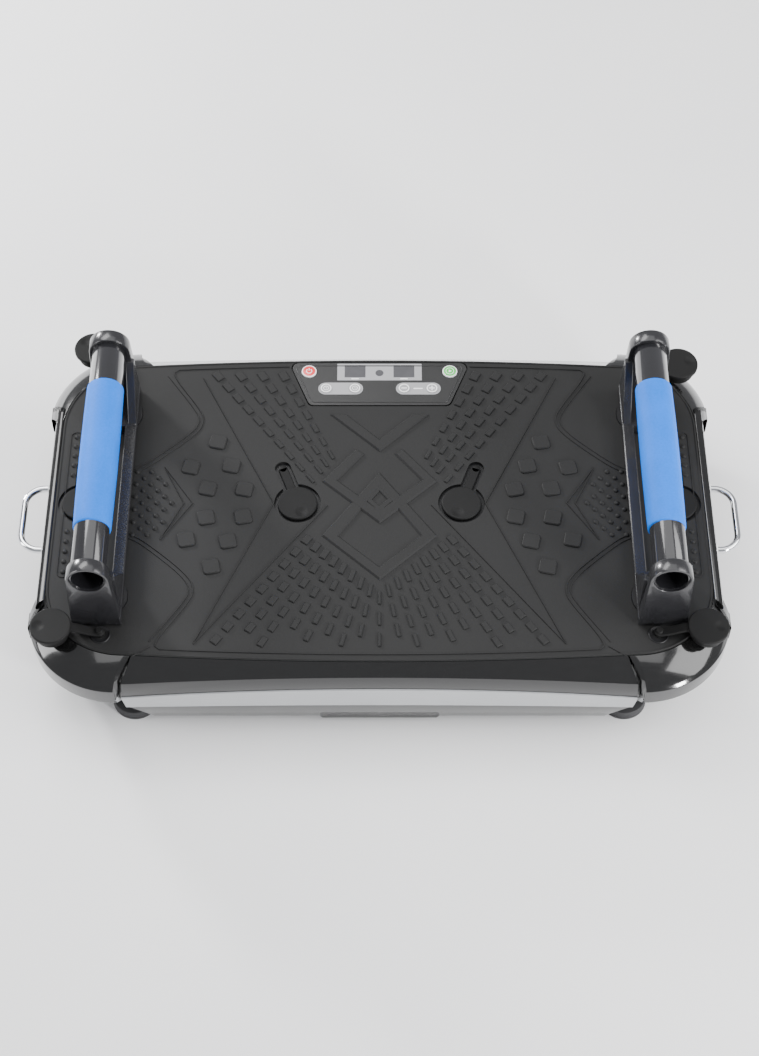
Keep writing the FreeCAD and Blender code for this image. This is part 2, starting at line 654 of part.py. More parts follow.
seat_z = MAT_BOTTOM + PLUG_SEAT_GAP
for name, x, y, heading in plug_places():
    parts[name] = set_plug(plug(), x, y, seat_z, heading)
park_z = DECK_TOP + PARK_LIFT + PLUG_SKIRT_H
for name, sx, sy in CORNERS:
    outwards = PARK_DEG[name] * sy
    heading = outwards if sx > 0 else 180 - outwards
    x = sx * ANCHOR_X + PLUG_REACH * cos(radians(heading))
    y = sy * ANCHOR_Y + PLUG_REACH * sin(radians(heading))
    anchor_peg = disc(ANCHOR_R - RUN_FIT, sx * ANCHOR_X, sy * ANCHOR_Y, COVER_BOTTOM + 1, park_z)
    parts["corner_plug_" + name] = fuse(set_plug(plug(), x, y, park_z, heading + 180), anchor_peg)


# ---- push-up bars ----
def bar_upright():
    """Right bar's back upright: tapered face, ring, foot over the socket, inner gusset and hollow peg."""
    inner_face = BAR_END_Y - BAR_RING_T
    foot_low = BAR_X - BAR_FOOT_HALF
    foot_high = BAR_X + BAR_FOOT_HALF
    face = slab_xz([(foot_low, BAR_BOTTOM), (foot_high, BAR_BOTTOM), (BAR_X + BAR_RING_R, TUBE_Z),
                    (BAR_X - BAR_RING_R, TUBE_Z)], inner_face, BAR_END_Y)
    ring = rod(BAR_RING_R, (BAR_X, inner_face, TUBE_Z), (BAR_X, BAR_END_Y, TUBE_Z))
    foot_top = BAR_BOTTOM + BAR_RAIL_H
    foot = box(foot_low, foot_high, BAR_FOOT_INNER_Y, BAR_END_Y, BAR_BOTTOM, foot_top)
    gusset = slab_yz([(BAR_FOOT_INNER_Y, foot_top), (inner_face, foot_top), (inner_face, TUBE_Z - GUSSET_DROP)],
                     foot_low, foot_low + GUSSET_T)
    peg_r = SOCKET_BORE_R - PEG_CLEAR
    peg = pipe(peg_r, peg_r - PEG_WALL, (SOCKET_X, SOCKET_Y, BAR_BOTTOM - PEG_DEPTH),
               (SOCKET_X, SOCKET_Y, BAR_BOTTOM))
    return fuse(face, ring, foot, gusset, peg)


back_upright = bar_upright()
bar_rail = box(BAR_X - BAR_FOOT_HALF, BAR_X - BAR_FOOT_HALF + BAR_RAIL_W, -BAR_FOOT_INNER_Y,
               BAR_FOOT_INNER_Y, BAR_BOTTOM, BAR_BOTTOM + BAR_RAIL_H)
bar_frame = fuse(back_upright, mirror_y(back_upright), bar_rail)
bar_frame = bar_frame.cut(rod(TUBE_R, (BAR_X, -REACH, TUBE_Z), (BAR_X, REACH, TUBE_Z)))
tube_end = BAR_END_Y - TUBE_BACK
bar_tube = pipe(TUBE_R, TUBE_R - TUBE_WALL, (BAR_X, -tube_end, TUBE_Z), (BAR_X, tube_end, TUBE_Z))
bar_grip = pipe(GRIP_R, TUBE_R, (BAR_X, -GRIP_HALF, TUBE_Z), (BAR_X, GRIP_HALF, TUBE_Z))
for name, sx in SIDES:
    parts["bar_frame_" + name] = place(bar_frame, sx, 1)
    parts["bar_tube_" + name] = place(bar_tube, sx, 1)
    parts["bar_grip_" + name] = place(bar_grip, sx, 1)

# ---- control panel, board and buttons ----
BUTTONS = [("power_button", -BIG_BUTTON_X, BIG_BUTTON_Y, BIG_BUTTON_R),
           ("start_button", BIG_BUTTON_X, BIG_BUTTON_Y, BIG_BUTTON_R)]
for name, x in zip(("mode_button", "time_button", "speed_down_button", "speed_up_button"), SMALL_BUTTON_X):
    BUTTONS.append((name, x, SMALL_BUTTON_Y, SMALL_BUTTON_R))
window_hole = box(-WINDOW_HALF_X, WINDOW_HALF_X, WINDOW_Y[0], WINDOW_Y[1], MAT_BOTTOM, PANEL_TOP)
panel = panel_block(0, MAT_BOTTOM, PANEL_TOP).cut(window_hole)
for _, x, y, radius in BUTTONS:
    panel = panel.cut(disc(radius + BUTTON_GAP, x, y, MAT_BOTTOM - 1, PANEL_TOP + 1))
parts["control_panel"] = panel

board_z = COVER_BOTTOM + BOARD_LIFT
display_top = PANEL_TOP - DISPLAY_SINK
frame_bottom = PANEL_TOP - FRAME_T
board_top = board_z + BOARD_T
flange_top = MAT_BOTTOM - BUTTON_GAP
switch_top = flange_top - BUTTON_FLANGE_T - BUTTON_TRAVEL - BUTTON_GAP
digits_low = DIGITS_Y - DIGITS_SIZE[1] / 2
digits_high = DIGITS_Y + DIGITS_SIZE[1] / 2


def digit_block(side, z0, z1):
    """Two-digit display on one side of the panel's middle."""
    middle = side * DIGITS_X
    return box(middle - DIGITS_SIZE[0] / 2, middle + DIGITS_SIZE[0] / 2, digits_low, digits_high, z0, z1)


modules = [digit_block(side, board_top, display_top) for side in (-1, 1)]
modules.append(disc(LENS_R, 0, LENS_Y, board_top, display_top))
window = box(-WINDOW_HALF_X, WINDOW_HALF_X, WINDOW_Y[0], WINDOW_Y[1], frame_bottom, PANEL_TOP)
for side in (-1, 1):
    window = window.cut(digit_block(side, 0, REACH))
parts["display_frame"] = window.cut(disc(LENS_R, 0, LENS_Y, 0, REACH))

board_back = PANEL_BACK_Y - BAY_BACK - 1.0
board_half = PANEL_FRONT_HALF - BOARD_INSET
board = fuse(box(-board_half, board_half, PANEL_FRONT_Y + BAY_INSET + 1.0, board_back, board_z, board_top),
             box(-BIG_BUTTON_X - BIG_BUTTON_R, BIG_BUTTON_X + BIG_BUTTON_R, BIG_BUTTON_Y - BIG_BUTTON_R,
                 board_back, board_z, board_top))
board_pieces = [board] + modules
for name, x, y, radius in BUTTONS:
    board_pieces.append(box(x - SWITCH_HALF, x + SWITCH_HALF, y - SWITCH_HALF, y + SWITCH_HALF,
                            board_top, switch_top))
    cap = fuse(disc(radius, x, y, flange_top - BUTTON_FLANGE_T, PANEL_TOP + BUTTON_PROUD),
               disc(radius + BUTTON_FLANGE, x, y, flange_top - BUTTON_FLANGE_T, flange_top))
    parts[name] = cap
parts["control_board"] = Part.makeCompound(board_pieces)

# ---- base: pan, feet, brackets and buffers ----
pan = rounded_block(PAN_HALF_X, PAN_HALF_Y, PAN_CORNER_R, FOOT_H, PAN_TOP + PAN_WALL)
pan = pan.cut(rounded_block(PAN_HALF_X - PAN_T, PAN_HALF_Y - PAN_T, PAN_CORNER_R - PAN_T, PAN_TOP,
                            PAN_TOP + PAN_WALL + 1))
pan = pan.cut(box(service_low, service_high, PAN_HALF_Y - 10, REACH, PAN_TOP, REACH))
feet = []
bolts = []
cup_h = FOOT_H * FOOT_SKIRT
for _, sx, sy in CORNERS:
    x = sx * FOOT_X
    y = sy * FOOT_Y
    foot = fuse(Part.makeCone(FOOT_R, FOOT_R - FOOT_TAPER, cup_h, V(x, y, 0)),
                disc(FOOT_NECK_R, x, y, cup_h, FOOT_H))
    hollow = Part.makeCone(FOOT_R - FOOT_CUP_WALL, FOOT_BOLT_R + 1, cup_h / 2, V(x, y, 0))
    bolt = fuse(disc(FOOT_BOLT_R, x, y, cup_h, PAN_TOP + BOLT_TIP),
                disc(BOLT_HEAD_R, x, y, PAN_TOP, PAN_TOP + BOLT_HEAD_H))
    stem = disc(FOOT_BOLT_R, x, y, cup_h, PAN_TOP)
    feet.append(foot.cut(hollow).cut(stem))
    pan = pan.cut(stem)
    bolts.append(bolt)
parts["base_pan"] = pan
parts["suction_feet"] = Part.makeCompound(feet)
parts["foot_bolts"] = Part.makeCompound(bolts)

brackets = []
hangers = []
flange_half, flange_out, flange_t = BRACKET_FLANGE
for sy in (-1, 1):
    low = sy * BRACKET_Y - BRACKET_T / 2
    high = sy * BRACKET_Y + BRACKET_T / 2
    bracket = fuse(slab_xz([(-BRACKET_FOOT, PAN_TOP), (BRACKET_FOOT, PAN_TOP), (BRACKET_R, PIVOT_Z),
                            (-BRACKET_R, PIVOT_Z)], low, high),
                   rod(BRACKET_R, (0, low, PIVOT_Z), (0, high, PIVOT_Z)),
                   box(-flange_half, flange_half, low - flange_out, high + flange_out,
                       PAN_TOP, PAN_TOP + flange_t))
    brackets.append(bracket.cut(rod(PIVOT_R + RUN_FIT, (0, low, PIVOT_Z), (0, high, PIVOT_Z))))
    low = sy * HANGER_Y - HANGER_T / 2
    high = sy * HANGER_Y + HANGER_T / 2
    hanger = fuse(slab_xz([(-HANGER_FOOT, PLATE_BOTTOM), (HANGER_FOOT, PLATE_BOTTOM), (HANGER_R, PIVOT_Z),
                           (-HANGER_R, PIVOT_Z)], low, high), rod(HANGER_R, (0, low, PIVOT_Z), (0, high, PIVOT_Z)))
    hangers.append(hanger.cut(rod(PIVOT_R, (0, low, PIVOT_Z), (0, high, PIVOT_Z))))
parts["pivot_brackets"] = Part.makeCompound(brackets)
parts["deck_hangers"] = Part.makeCompound(hangers)
shaft_end = BRACKET_Y + BRACKET_T / 2 + SHAFT_END
parts["pivot_shaft"] = rod(PIVOT_R, (0, -shaft_end, PIVOT_Z), (0, shaft_end, PIVOT_Z))
parts["rubber_buffers"] = Part.makeCompound([disc(BUFFER_R, sx * BUFFER_X, sy * BUFFER_Y, PAN_TOP, BUFFER_TOP)
                                             for _, sx, sy in CORNERS])


# ---- drive: motor, belt, eccentric shaft and connecting rod ----
def along_y(radius, x, z, y0, y1):
    return rod(radius, (x, y0, z), (x, y1, z))


blocks = []
for side in (-1, 1):
    low = ROD_Y + side * BLOCK_OFFSET - BLOCK_T / 2
    high = low + BLOCK_T
    block = fuse(slab_xz([(CRANK_X - BLOCK_FOOT, PAN_TOP), (CRANK_X + BLOCK_FOOT, PAN_TOP),
                          (CRANK_X + BLOCK_R, CRANK_Z), (CRANK_X - BLOCK_R, CRANK_Z)], low, high),
                 along_y(BLOCK_R, CRANK_X, CRANK_Z, low, high))
    blocks.append(block.cut(along_y(SHAFT_R + RUN_FIT, CRANK_X, CRANK_Z, low, high)))
parts["bearing_blocks"] = Part.makeCompound(blocks)
disc_x = CRANK_X + ECCENTRICITY
shaft_low = ROD_Y - BLOCK_OFFSET - BLOCK_T / 2 - SHAFT_END
parts["eccentric_shaft"] = fuse(along_y(SHAFT_R, CRANK_X, CRANK_Z, shaft_low, PULLEY_Y + PULLEY_W / 2 + 2),
                                along_y(DISC_R, disc_x, CRANK_Z, ROD_Y - ROD_T / 2, ROD_Y + ROD_T / 2))
pulley_low = PULLEY_Y - PULLEY_W / 2
pulley_high = PULLEY_Y + PULLEY_W / 2
driven = along_y(DRIVEN_R, CRANK_X, CRANK_Z, pulley_low, pulley_high)
driven = driven.cut(along_y(SHAFT_R, CRANK_X, CRANK_Z, pulley_low, pulley_high))
for step in range(PULLEY_HOLES):
    angle = radians(360 * step / PULLEY_HOLES)
    hole_x = CRANK_X + PULLEY_HOLE_RING * cos(angle)
    hole_z = CRANK_Z + PULLEY_HOLE_RING * sin(angle)
    driven = driven.cut(along_y(PULLEY_HOLE_R, hole_x, hole_z, pulley_low, pulley_high))
parts["driven_pulley"] = driven
motor_face = pulley_high + MOTOR_OFFSET
shaft_in = motor_face + MOTOR_SHAFT_IN
motor_shaft = along_y(MOTOR_SHAFT_R, MOTOR_X, CRANK_Z, pulley_low - 2, shaft_in)
drive_pulley = along_y(MOTOR_PULLEY_R, MOTOR_X, CRANK_Z, pulley_low, pulley_high).cut(motor_shaft)
parts["motor_rotor"] = Part.makeCompound([motor_shaft, drive_pulley])
motor = along_y(MOTOR_R, MOTOR_X, CRANK_Z, motor_face, motor_face + MOTOR_L)
parts["drive_motor"] = motor.cut(along_y(MOTOR_SHAFT_R + RUN_FIT, MOTOR_X, CRANK_Z, motor_face, shaft_in + 0.5))
mount_half, mount_t, mount_foot = MOTOR_PLATE
mount_front = motor_face - mount_t
mount_x = (MOTOR_X - mount_half, MOTOR_X + mount_half)
face_plate = fuse(box(*mount_x, mount_front, motor_face, PAN_TOP, CRANK_Z + MOTOR_R),
                  box(*mount_x, mount_front, motor_face + mount_foot, PAN_TOP, PAN_TOP + mount_t))
parts["motor_bracket"] = face_plate.cut(along_y(MOTOR_PLATE_HOLE_R, MOTOR_X, CRANK_Z, mount_front, motor_face))
belt_y0 = pulley_low + 1
belt_y1 = pulley_high - 1
crank_axis = (CRANK_X, CRANK_Z)
motor_axis = (MOTOR_X, CRANK_Z)
inner_1 = DRIVEN_R + BELT_GAP
inner_2 = MOTOR_PULLEY_R + BELT_GAP
belt = link_block(crank_axis, inner_1 + BELT_T, motor_axis, inner_2 + BELT_T, belt_y0, belt_y1)
parts["drive_belt"] = belt.cut(link_block(crank_axis, inner_1, motor_axis, inner_2, belt_y0, belt_y1))
rod_low = ROD_Y - ROD_T / 2
rod_high = ROD_Y + ROD_T / 2
big_end = DISC_R + RUN_FIT
small_end = PIN_R + PIN_ROOM
link = link_block((disc_x, CRANK_Z), big_end + ROD_WALL, (disc_x, PIN_Z), small_end + ROD_EYE_WALL,
                  rod_low, rod_high)
link = link.cut(along_y(big_end, disc_x, CRANK_Z, rod_low, rod_high))
parts["connecting_rod"] = link.cut(along_y(small_end, disc_x, PIN_Z, rod_low, rod_high))
clevis = []
pin = along_y(PIN_R, CRANK_X, PIN_Z, rod_low - PIN_END, rod_high + PIN_END)
for side in (-1, 1):
    near = ROD_Y + side * (ROD_T / 2 + CLEVIS_GAP)
    ear_top, ear_low = CLEVIS_HALF
    ear = slab_xz([(CRANK_X - ear_top, PLATE_BOTTOM), (CRANK_X + ear_top, PLATE_BOTTOM),
                   (CRANK_X + ear_low, PIN_Z - ear_low), (CRANK_X - ear_low, PIN_Z - ear_low)],
                  near, near + side * CLEVIS_T)
    clevis.append(ear.cut(pin))
clevis.append(pin)
parts["rod_clevis"] = Part.makeCompound(clevis)

# ---- power electronics, mains inlet and switch ----
stand_x, stand_y, stand_r, stand_h = BOARD_STANDS
stand_top = PAN_TOP + stand_h
coil_x0, coil_x1, coil_y0, coil_y1, coil_h = COIL
cap_x, cap_y, cap_r, cap_h = CAPACITOR
supports = [disc(stand_r, BOARD_X + sx * stand_x, sy * stand_y, PAN_TOP, stand_top) for _, sx, sy in CORNERS]
supply_top = stand_top + BOARD_T
board_x, board_y = BOARD_HALF
supply = [box(BOARD_X - board_x, BOARD_X + board_x, -board_y, board_y, stand_top, supply_top),
          box(BOARD_X + coil_x0, BOARD_X + coil_x1, coil_y0, coil_y1, supply_top, PAN_TOP + coil_h),
          disc(cap_r, BOARD_X + cap_x, cap_y, supply_top, PAN_TOP + cap_h)]
parts["power_board"] = Part.makeCompound(supply + supports)

plate_y = PAN_HALF_Y + SERVICE_OUT
service_x = (service_low + SERVICE_PLATE_T, service_high - SERVICE_PLATE_T)
foot_y = (PAN_HALF_Y - SERVICE_FOOT, plate_y)
service_plate = fuse(box(*service_x, plate_y - SERVICE_PLATE_T, plate_y, PAN_TOP, service_top - SERVICE_PLATE_T),
                     box(*service_x, *foot_y, PAN_TOP, PAN_TOP + SERVICE_PLATE_T))


def service_block(middle, size, wall, y0, y1):
    """Block on the service plate's line, with its face moved in by wall."""
    half_x = size[0] / 2 - wall
    half_z = size[1] / 2 - wall
    return box(middle - half_x, middle + half_x, y0, y1, INLET_Z - half_z, INLET_Z + half_z)


mouth_y = plate_y + INLET_OUT
inlet = service_block(INLET_X, INLET_SIZE, 0, plate_y - INLET_IN, mouth_y)
service_plate = service_plate.cut(inlet)
inlet = inlet.cut(service_block(INLET_X, INLET_SIZE, INLET_WALL, plate_y - INLET_BACK, mouth_y))
pins = [service_block(INLET_X + shift, INLET_PIN, 0, plate_y - INLET_BACK, mouth_y - INLET_PIN_DROP)
        for shift in (-INLET_PITCH, 0, INLET_PITCH)]
parts["mains_inlet"] = fuse(inlet, *pins)
switch_y = plate_y + SWITCH_OUT
housing = service_block(SWITCH_X, SWITCH_SIZE, 0, plate_y - SWITCH_IN, switch_y)
service_plate = service_plate.cut(housing)
housing = housing.cut(service_block(SWITCH_X, SWITCH_SIZE, SWITCH_WALL, plate_y - SERVICE_PLATE_T, switch_y))
parts["service_plate"] = Part.makeCompound([service_plate, housing])
rocker_y = plate_y + ROCKER_OUT
parts["power_rocker"] = service_block(SWITCH_X, ROCKER_SIZE, 0, rocker_y - ROCKER_IN, rocker_y + ROCKER_PROUD)

os.makedirs("parts", exist_ok=True)
for name, shape in parts.items():
    shape.exportStep(os.path.join("parts", name + ".step"))
print(len(parts), "parts")
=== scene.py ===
"""Vibration plate with push-up bars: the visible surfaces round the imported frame.

Every length is in metres, in the frame's own axes: +X to the user's right, +Y to the back, +Z up.
"""
from math import cos, pi, radians, sin

import bmesh
import bpy
import numpy as np
from bpy.props import FloatProperty, FloatVectorProperty, PointerProperty
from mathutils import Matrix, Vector


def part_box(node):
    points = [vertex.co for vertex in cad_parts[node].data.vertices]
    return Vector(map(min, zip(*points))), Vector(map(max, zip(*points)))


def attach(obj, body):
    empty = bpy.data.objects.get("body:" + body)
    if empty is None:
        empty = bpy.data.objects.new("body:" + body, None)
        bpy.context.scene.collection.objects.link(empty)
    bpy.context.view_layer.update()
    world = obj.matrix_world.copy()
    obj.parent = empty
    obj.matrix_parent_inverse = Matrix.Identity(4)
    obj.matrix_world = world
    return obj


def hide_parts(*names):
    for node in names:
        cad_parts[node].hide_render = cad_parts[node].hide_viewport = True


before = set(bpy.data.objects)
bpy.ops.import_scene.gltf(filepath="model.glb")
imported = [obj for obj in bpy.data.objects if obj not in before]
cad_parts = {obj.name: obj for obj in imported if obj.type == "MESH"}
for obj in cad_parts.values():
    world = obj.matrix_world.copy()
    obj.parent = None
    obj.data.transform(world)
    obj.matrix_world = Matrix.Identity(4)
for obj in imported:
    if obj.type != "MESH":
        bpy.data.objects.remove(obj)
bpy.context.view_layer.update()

bl_info = {
    "name": "Vibration plate",
    "version": (1, 0, 0),
    "blender": (4, 5, 0),
    "location": "3D View > Sidebar > Plate",
    "description": "Builds the visible pieces of a vibration plate with push-up bars",
    "category": "Add Mesh",
}

MM = 0.001
MAT_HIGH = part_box("deck_mat")[1]
CAP_LOW, CAP_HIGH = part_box("corner_cap_back_right")
GRIP_LOW, GRIP_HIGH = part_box("bar_grip_right")
TUBE_LOW, TUBE_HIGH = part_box("bar_tube_right")
FRAME_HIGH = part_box("bar_frame_right")[1]
PANEL_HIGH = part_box("control_panel")[1]
LOOP_LOW, LOOP_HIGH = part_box("band_loop_right")
COLLAR_LOW, COLLAR_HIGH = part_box("loop_collars")
STRIP_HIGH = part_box("back_trim_strip")[1]
DECK_Z = MAT_HIGH.z
SIDES = (("left", -1), ("right", 1))
CORNERS = (("front_left", -1, -1), ("front_right", 1, -1), ("back_left", -1, 1), ("back_right", 1, 1))


# ---------------------------------------------------------------- meshes
def add_piece(name, points, faces, body, material, replaced=()):
    """Makes a mesh from an array of points and a list of faces, and lets it ride on a body."""
    mesh = bpy.data.meshes.new(name)
    mesh.from_pydata(np.asarray(points, float).reshape(-1, 3).tolist(), [], faces)
    mesh.validate()
    mesh.update()
    mesh.polygons.foreach_set("use_smooth", np.full(len(mesh.polygons), True))
    piece = bpy.data.objects.new(name, mesh)
    bpy.context.scene.collection.objects.link(piece)
    mesh.materials.append(material)
    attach(piece, body)
    if replaced:
        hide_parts(*replaced)
    return piece


def grid_faces(rows, columns, close_rows=False, close_columns=False, start=0):
    """Quads between neighbouring points of a rows x columns grid; a closed direction wraps round."""
    index = np.arange(rows * columns).reshape(rows, columns) + start
    if close_rows:
        index = np.vstack([index, index[:1]])
    if close_columns:
        index = np.hstack([index, index[:, :1]])
    quads = np.stack([index[:-1, :-1], index[:-1, 1:], index[1:, 1:], index[1:, :-1]], axis=-1)
    return quads.reshape(-1, 4).tolist()


class Shell:
    """Collects grids and polygons into the points and faces of one mesh."""

    def __init__(self):
        self.points = []
        self.faces = []
        self.count = 0

    def grid(self, points, close_rows=False, close_columns=False, cap_rows=False, flip=False):
        """Adds a rows x columns x 3 grid; cap_rows closes the first and last row with a face."""
        rows, columns = points.shape[:2]
        faces = grid_faces(rows, columns, close_rows, close_columns, self.count)
        if cap_rows:
            first = list(range(self.count, self.count + columns))
            faces.append(first[::-1])
            faces.append([i + (rows - 1) * columns for i in first])
        if flip:
            faces = [face[::-1] for face in faces]
        self.points.append(points.reshape(-1, 3))
        self.faces.extend(faces)
        self.count += rows * columns
        return self

    def add(self, other):
        """Takes in the points and faces of another shell."""
        self.points.extend(other.points)
        self.faces.extend([[i + self.count for i in face] for face in other.faces])
        self.count += other.count
        return self

    def moved(self, change, flip=False):
        """Copy with change applied to the array of all points."""
        copy = Shell()
        copy.points = [change(np.vstack(self.points))]
        copy.faces = [face[::-1] for face in self.faces] if flip else [list(face) for face in self.faces]
        copy.count = self.count
        return copy

    def mirrored(self, sx, sy):
        """Copy mirrored into the quadrant with signs sx and sy, faces still pointing outwards."""
        return self.moved(lambda p: p * (sx, sy, 1), flip=sx * sy < 0)

    def piece(self, name, body, material, slot, replaced=(), angle=35.0):
        """Makes the piece; faces that meet at less than the angle shade as one curve."""
        made = add_piece(name, np.vstack(self.points), self.faces, body, material, replaced)
        outwards(made)
        made.data.set_sharp_from_angle(angle=radians(angle))
        return made


def outward_of(points):
    """Signed area of a plan polygon: positive when it runs anticlockwise."""
    x, y = points[:, 0], points[:, 1]
    return 0.5 * float(np.sum(x * np.roll(y, -1) - np.roll(x, -1) * y))


def anticlockwise(outline):
    """Plan polygon as an array, turned round if it runs clockwise."""
    outline = np.asarray(outline, float)
    return outline[::-1] if outward_of(outline) < 0 else outline


def at_height(plan, z):
    """Plan points with a height added."""
    return np.column_stack([plan, np.full(len(plan), z)])


def inset(points, distance):
    """Plan polygon moved inwards: each corner slides along the mean of its two edges' normals."""
    ahead = np.roll(points, -1, 0) - points
    ahead /= np.linalg.norm(ahead, axis=1, keepdims=True)
    behind = np.roll(ahead, 1, 0)
    normal_ahead = np.stack([-ahead[:, 1], ahead[:, 0]], 1)
    normal_behind = np.stack([-behind[:, 1], behind[:, 0]], 1)
    share = 1 + np.sum(normal_ahead * normal_behind, axis=1, keepdims=True)
    return points + distance * (normal_ahead + normal_behind) / np.maximum(share, 0.35)


def raised(shell, outline, base, height, bevel):
    """Closed pad on a plan outline: a floor, walls, a bevel worked out as an inset, and a flat top."""
    outline = anticlockwise(outline)
    rings = [at_height(outline, base), at_height(outline, base + height - bevel),
             at_height(inset(outline, bevel), base + height)]
    return shell.grid(np.array(rings), close_columns=True, cap_rows=True)


def ribbon(points, width, closed=False):
    """Plan outline of a band along a centre line: each point moved sideways by half the width, mitred."""
    points = np.asarray(points, float)
    if closed:
        ahead = np.roll(points, -1, 0) - points
    else:
        ahead = np.vstack([np.diff(points, axis=0), points[-1:] - points[-2:-1]])
    ahead /= np.linalg.norm(ahead, axis=1, keepdims=True)
    behind = np.roll(ahead, 1, 0)
    if not closed:
        behind[0] = ahead[0]
    side_a = np.stack([-ahead[:, 1], ahead[:, 0]], 1)
    side_b = np.stack([-behind[:, 1], behind[:, 0]], 1)
    share = 1 + np.sum(side_a * side_b, axis=1, keepdims=True)
    offset = (side_a + side_b) / np.maximum(share, 0.35) * width / 2
    return points + offset, points - offset


def ridge(shell, points, width, height, base, bevel, closed=False):
    """Raised band along a plan line: a trapezium section carried along it."""
    points = np.asarray(points, float)
    left, right = ribbon(points, width, closed)
    left_top, right_top = ribbon(points, width - 2 * bevel, closed)
    top = base + height
    section = np.array([at_height(left, base), at_height(left_top, top), at_height(right_top, top),
                        at_height(right, base)]).transpose(1, 0, 2)
    return shell.grid(section, close_rows=closed, close_columns=True, cap_rows=not closed)


def arc(centre, radius, start, stop, count):
    """Plan points on a circle between two angles in degrees."""
    angle = np.radians(np.linspace(start, stop, count))
    return np.column_stack([centre[0] + radius * np.cos(angle), centre[1] + radius * np.sin(angle)])


def rounded_polygon(corners, radius, count=5):
    """Plan polygon with every corner turned into an arc that touches both of its edges."""
    corners = np.asarray(corners, float)
    made = []
    for i, corner in enumerate(corners):
        before = corners[i - 1] - corner
        after = corners[(i + 1) % len(corners)] - corner
        before /= np.linalg.norm(before)
        after /= np.linalg.norm(after)
        half = 0.5 * np.arccos(np.clip(np.dot(before, after), -1, 1))
        centre = corner + (before + after) / np.linalg.norm(before + after) * radius / np.sin(half)
        first = corner + before * radius / np.tan(half)
        last = corner + after * radius / np.tan(half)
        share = np.linspace(0, 1, count)[:, None]
        chord = first * (1 - share) + last * share - centre
        made.append(centre + chord / np.linalg.norm(chord, axis=1, keepdims=True) * radius)
    return np.vstack(made)


def revolved(profile, centre, axis, count):
    """Grid of a surface of revolution: rows (radius, height) turned about an axis through centre."""
    profile = np.asarray(profile, float)
    angle = np.linspace(0, 2 * pi, count, endpoint=False)
    across = profile[:, :1] * np.cos(angle)
    along = profile[:, :1] * np.sin(angle)
    height = np.repeat(profile[:, 1:2], count, axis=1)
    layers = {"z": (across, along, height), "y": (along, height, across), "x": (height, across, along)}
    return np.stack(layers[axis], axis=-1) + np.asarray(centre, float)


def turned(shell, profile, centre, count):
    """Turned solid about an upright axis, with a face across its first and its last row."""
    return shell.grid(revolved(profile, centre, "z", count), close_columns=True, cap_rows=True)


def closed_turned(shell, profile, centre, axis, count):
    """Turned ring: the profile is a closed loop of (radius, height)."""
    return shell.grid(revolved(profile, centre, axis, count), close_rows=True, close_columns=True)


def tube_along(shell, path, radius, count=20):
    """Round tube: a circle carried along the path, square to it and kept upright by the Z axis."""
    path = np.asarray(path, float)
    ahead = np.gradient(path, axis=0)
    ahead /= np.linalg.norm(ahead, axis=1, keepdims=True)
    up = np.array([0.0, 0.0, 1.0])
    side = np.cross(ahead, up)
    side /= np.linalg.norm(side, axis=1, keepdims=True)
    rise = np.cross(side, ahead)
    angle = np.linspace(0, 2 * pi, count, endpoint=False)
    ring = side[:, None] * np.cos(angle)[None, :, None] + rise[:, None] * np.sin(angle)[None, :, None]
    return shell.grid(path[:, None] + radius * ring, close_columns=True, cap_rows=True, flip=True)


def outwards(piece):
    """Merges doubled points and turns the faces of every closed part outwards."""
    work = bmesh.new()
    work.from_mesh(piece.data)
    bmesh.ops.remove_doubles(work, verts=work.verts, dist=1e-6)
    bmesh.ops.recalc_face_normals(work, faces=work.faces)
    work.to_mesh(piece.data)
    work.free()


def plate(shell, outline, low, high, bevel, axis="z"):
    """Closed block: an outline carried from low to high along an axis, with both rims bevelled.

    The outline's two columns are (X, Y) for axis z, (X, Z) for axis y and (Y, Z) for axis x.
    """
    outline = anticlockwise(outline)
    small = inset(outline, bevel)
    rows = []
    for ring, height in ((small, low), (outline, low + bevel), (outline, high - bevel), (small, high)):
        level = np.full(len(ring), height)
        rows.append({"z": (ring[:, 0], ring[:, 1], level), "y": (ring[:, 0], level, ring[:, 1]),
                     "x": (level, ring[:, 0], ring[:, 1])}[axis])
    return shell.grid(np.array(rows).transpose(0, 2, 1), close_columns=True, cap_rows=True)


def loft(shell, sections):
    """Closed solid from sections along its length, each a closed loop of as many points."""
    return shell.grid(np.asarray(sections, float), close_columns=True, cap_rows=True)


def rectangle(x0, x1, y0, y1, radius, count=4):
    """Plan rectangle with round corners."""
    return rounded_polygon([(x1, y1), (x0, y1), (x0, y0), (x1, y0)], radius, count)


def framed(shell, outer, inner, base, height, bevel):
    """Raised frame between two outlines of as many corners, with both top edges bevelled."""
    outer = np.asarray(outer, float)
    inner = np.asarray(inner, float)
    if outward_of(outer) < 0:
        outer = outer[::-1]
        inner = inner[::-1]
    top = base + height
    rows = [at_height(outer, base), at_height(outer, top - bevel), at_height(inset(outer, bevel), top),
            at_height(inset(inner, -bevel), top), at_height(inner, top - bevel), at_height(inner, base)]
    return shell.grid(np.array(rows), close_rows=True, close_columns=True)


# ---------------------------------------------------------------- materials
class Wire:
    """A number that varies over the surface: arithmetic on it adds Math nodes."""

    def __init__(self, sheet, socket):
        self.sheet = sheet
        self.socket = socket

    def _with(self, operation, first, second):
        return self.sheet.node("ShaderNodeMath", {"operation": operation}, {0: first, 1: second})[0]

    def __add__(self, other):
        return self._with("ADD", self, other)

    __radd__ = __add__

    def __sub__(self, other):
        return self._with("SUBTRACT", self, other)

    def __rsub__(self, other):
        return self._with("SUBTRACT", other, self)

    def __mul__(self, other):
        return self._with("MULTIPLY", self, other)

    __rmul__ = __mul__

    def power(self, exponent):
        """The number raised to an exponent."""
        return self._with("POWER", self, exponent)


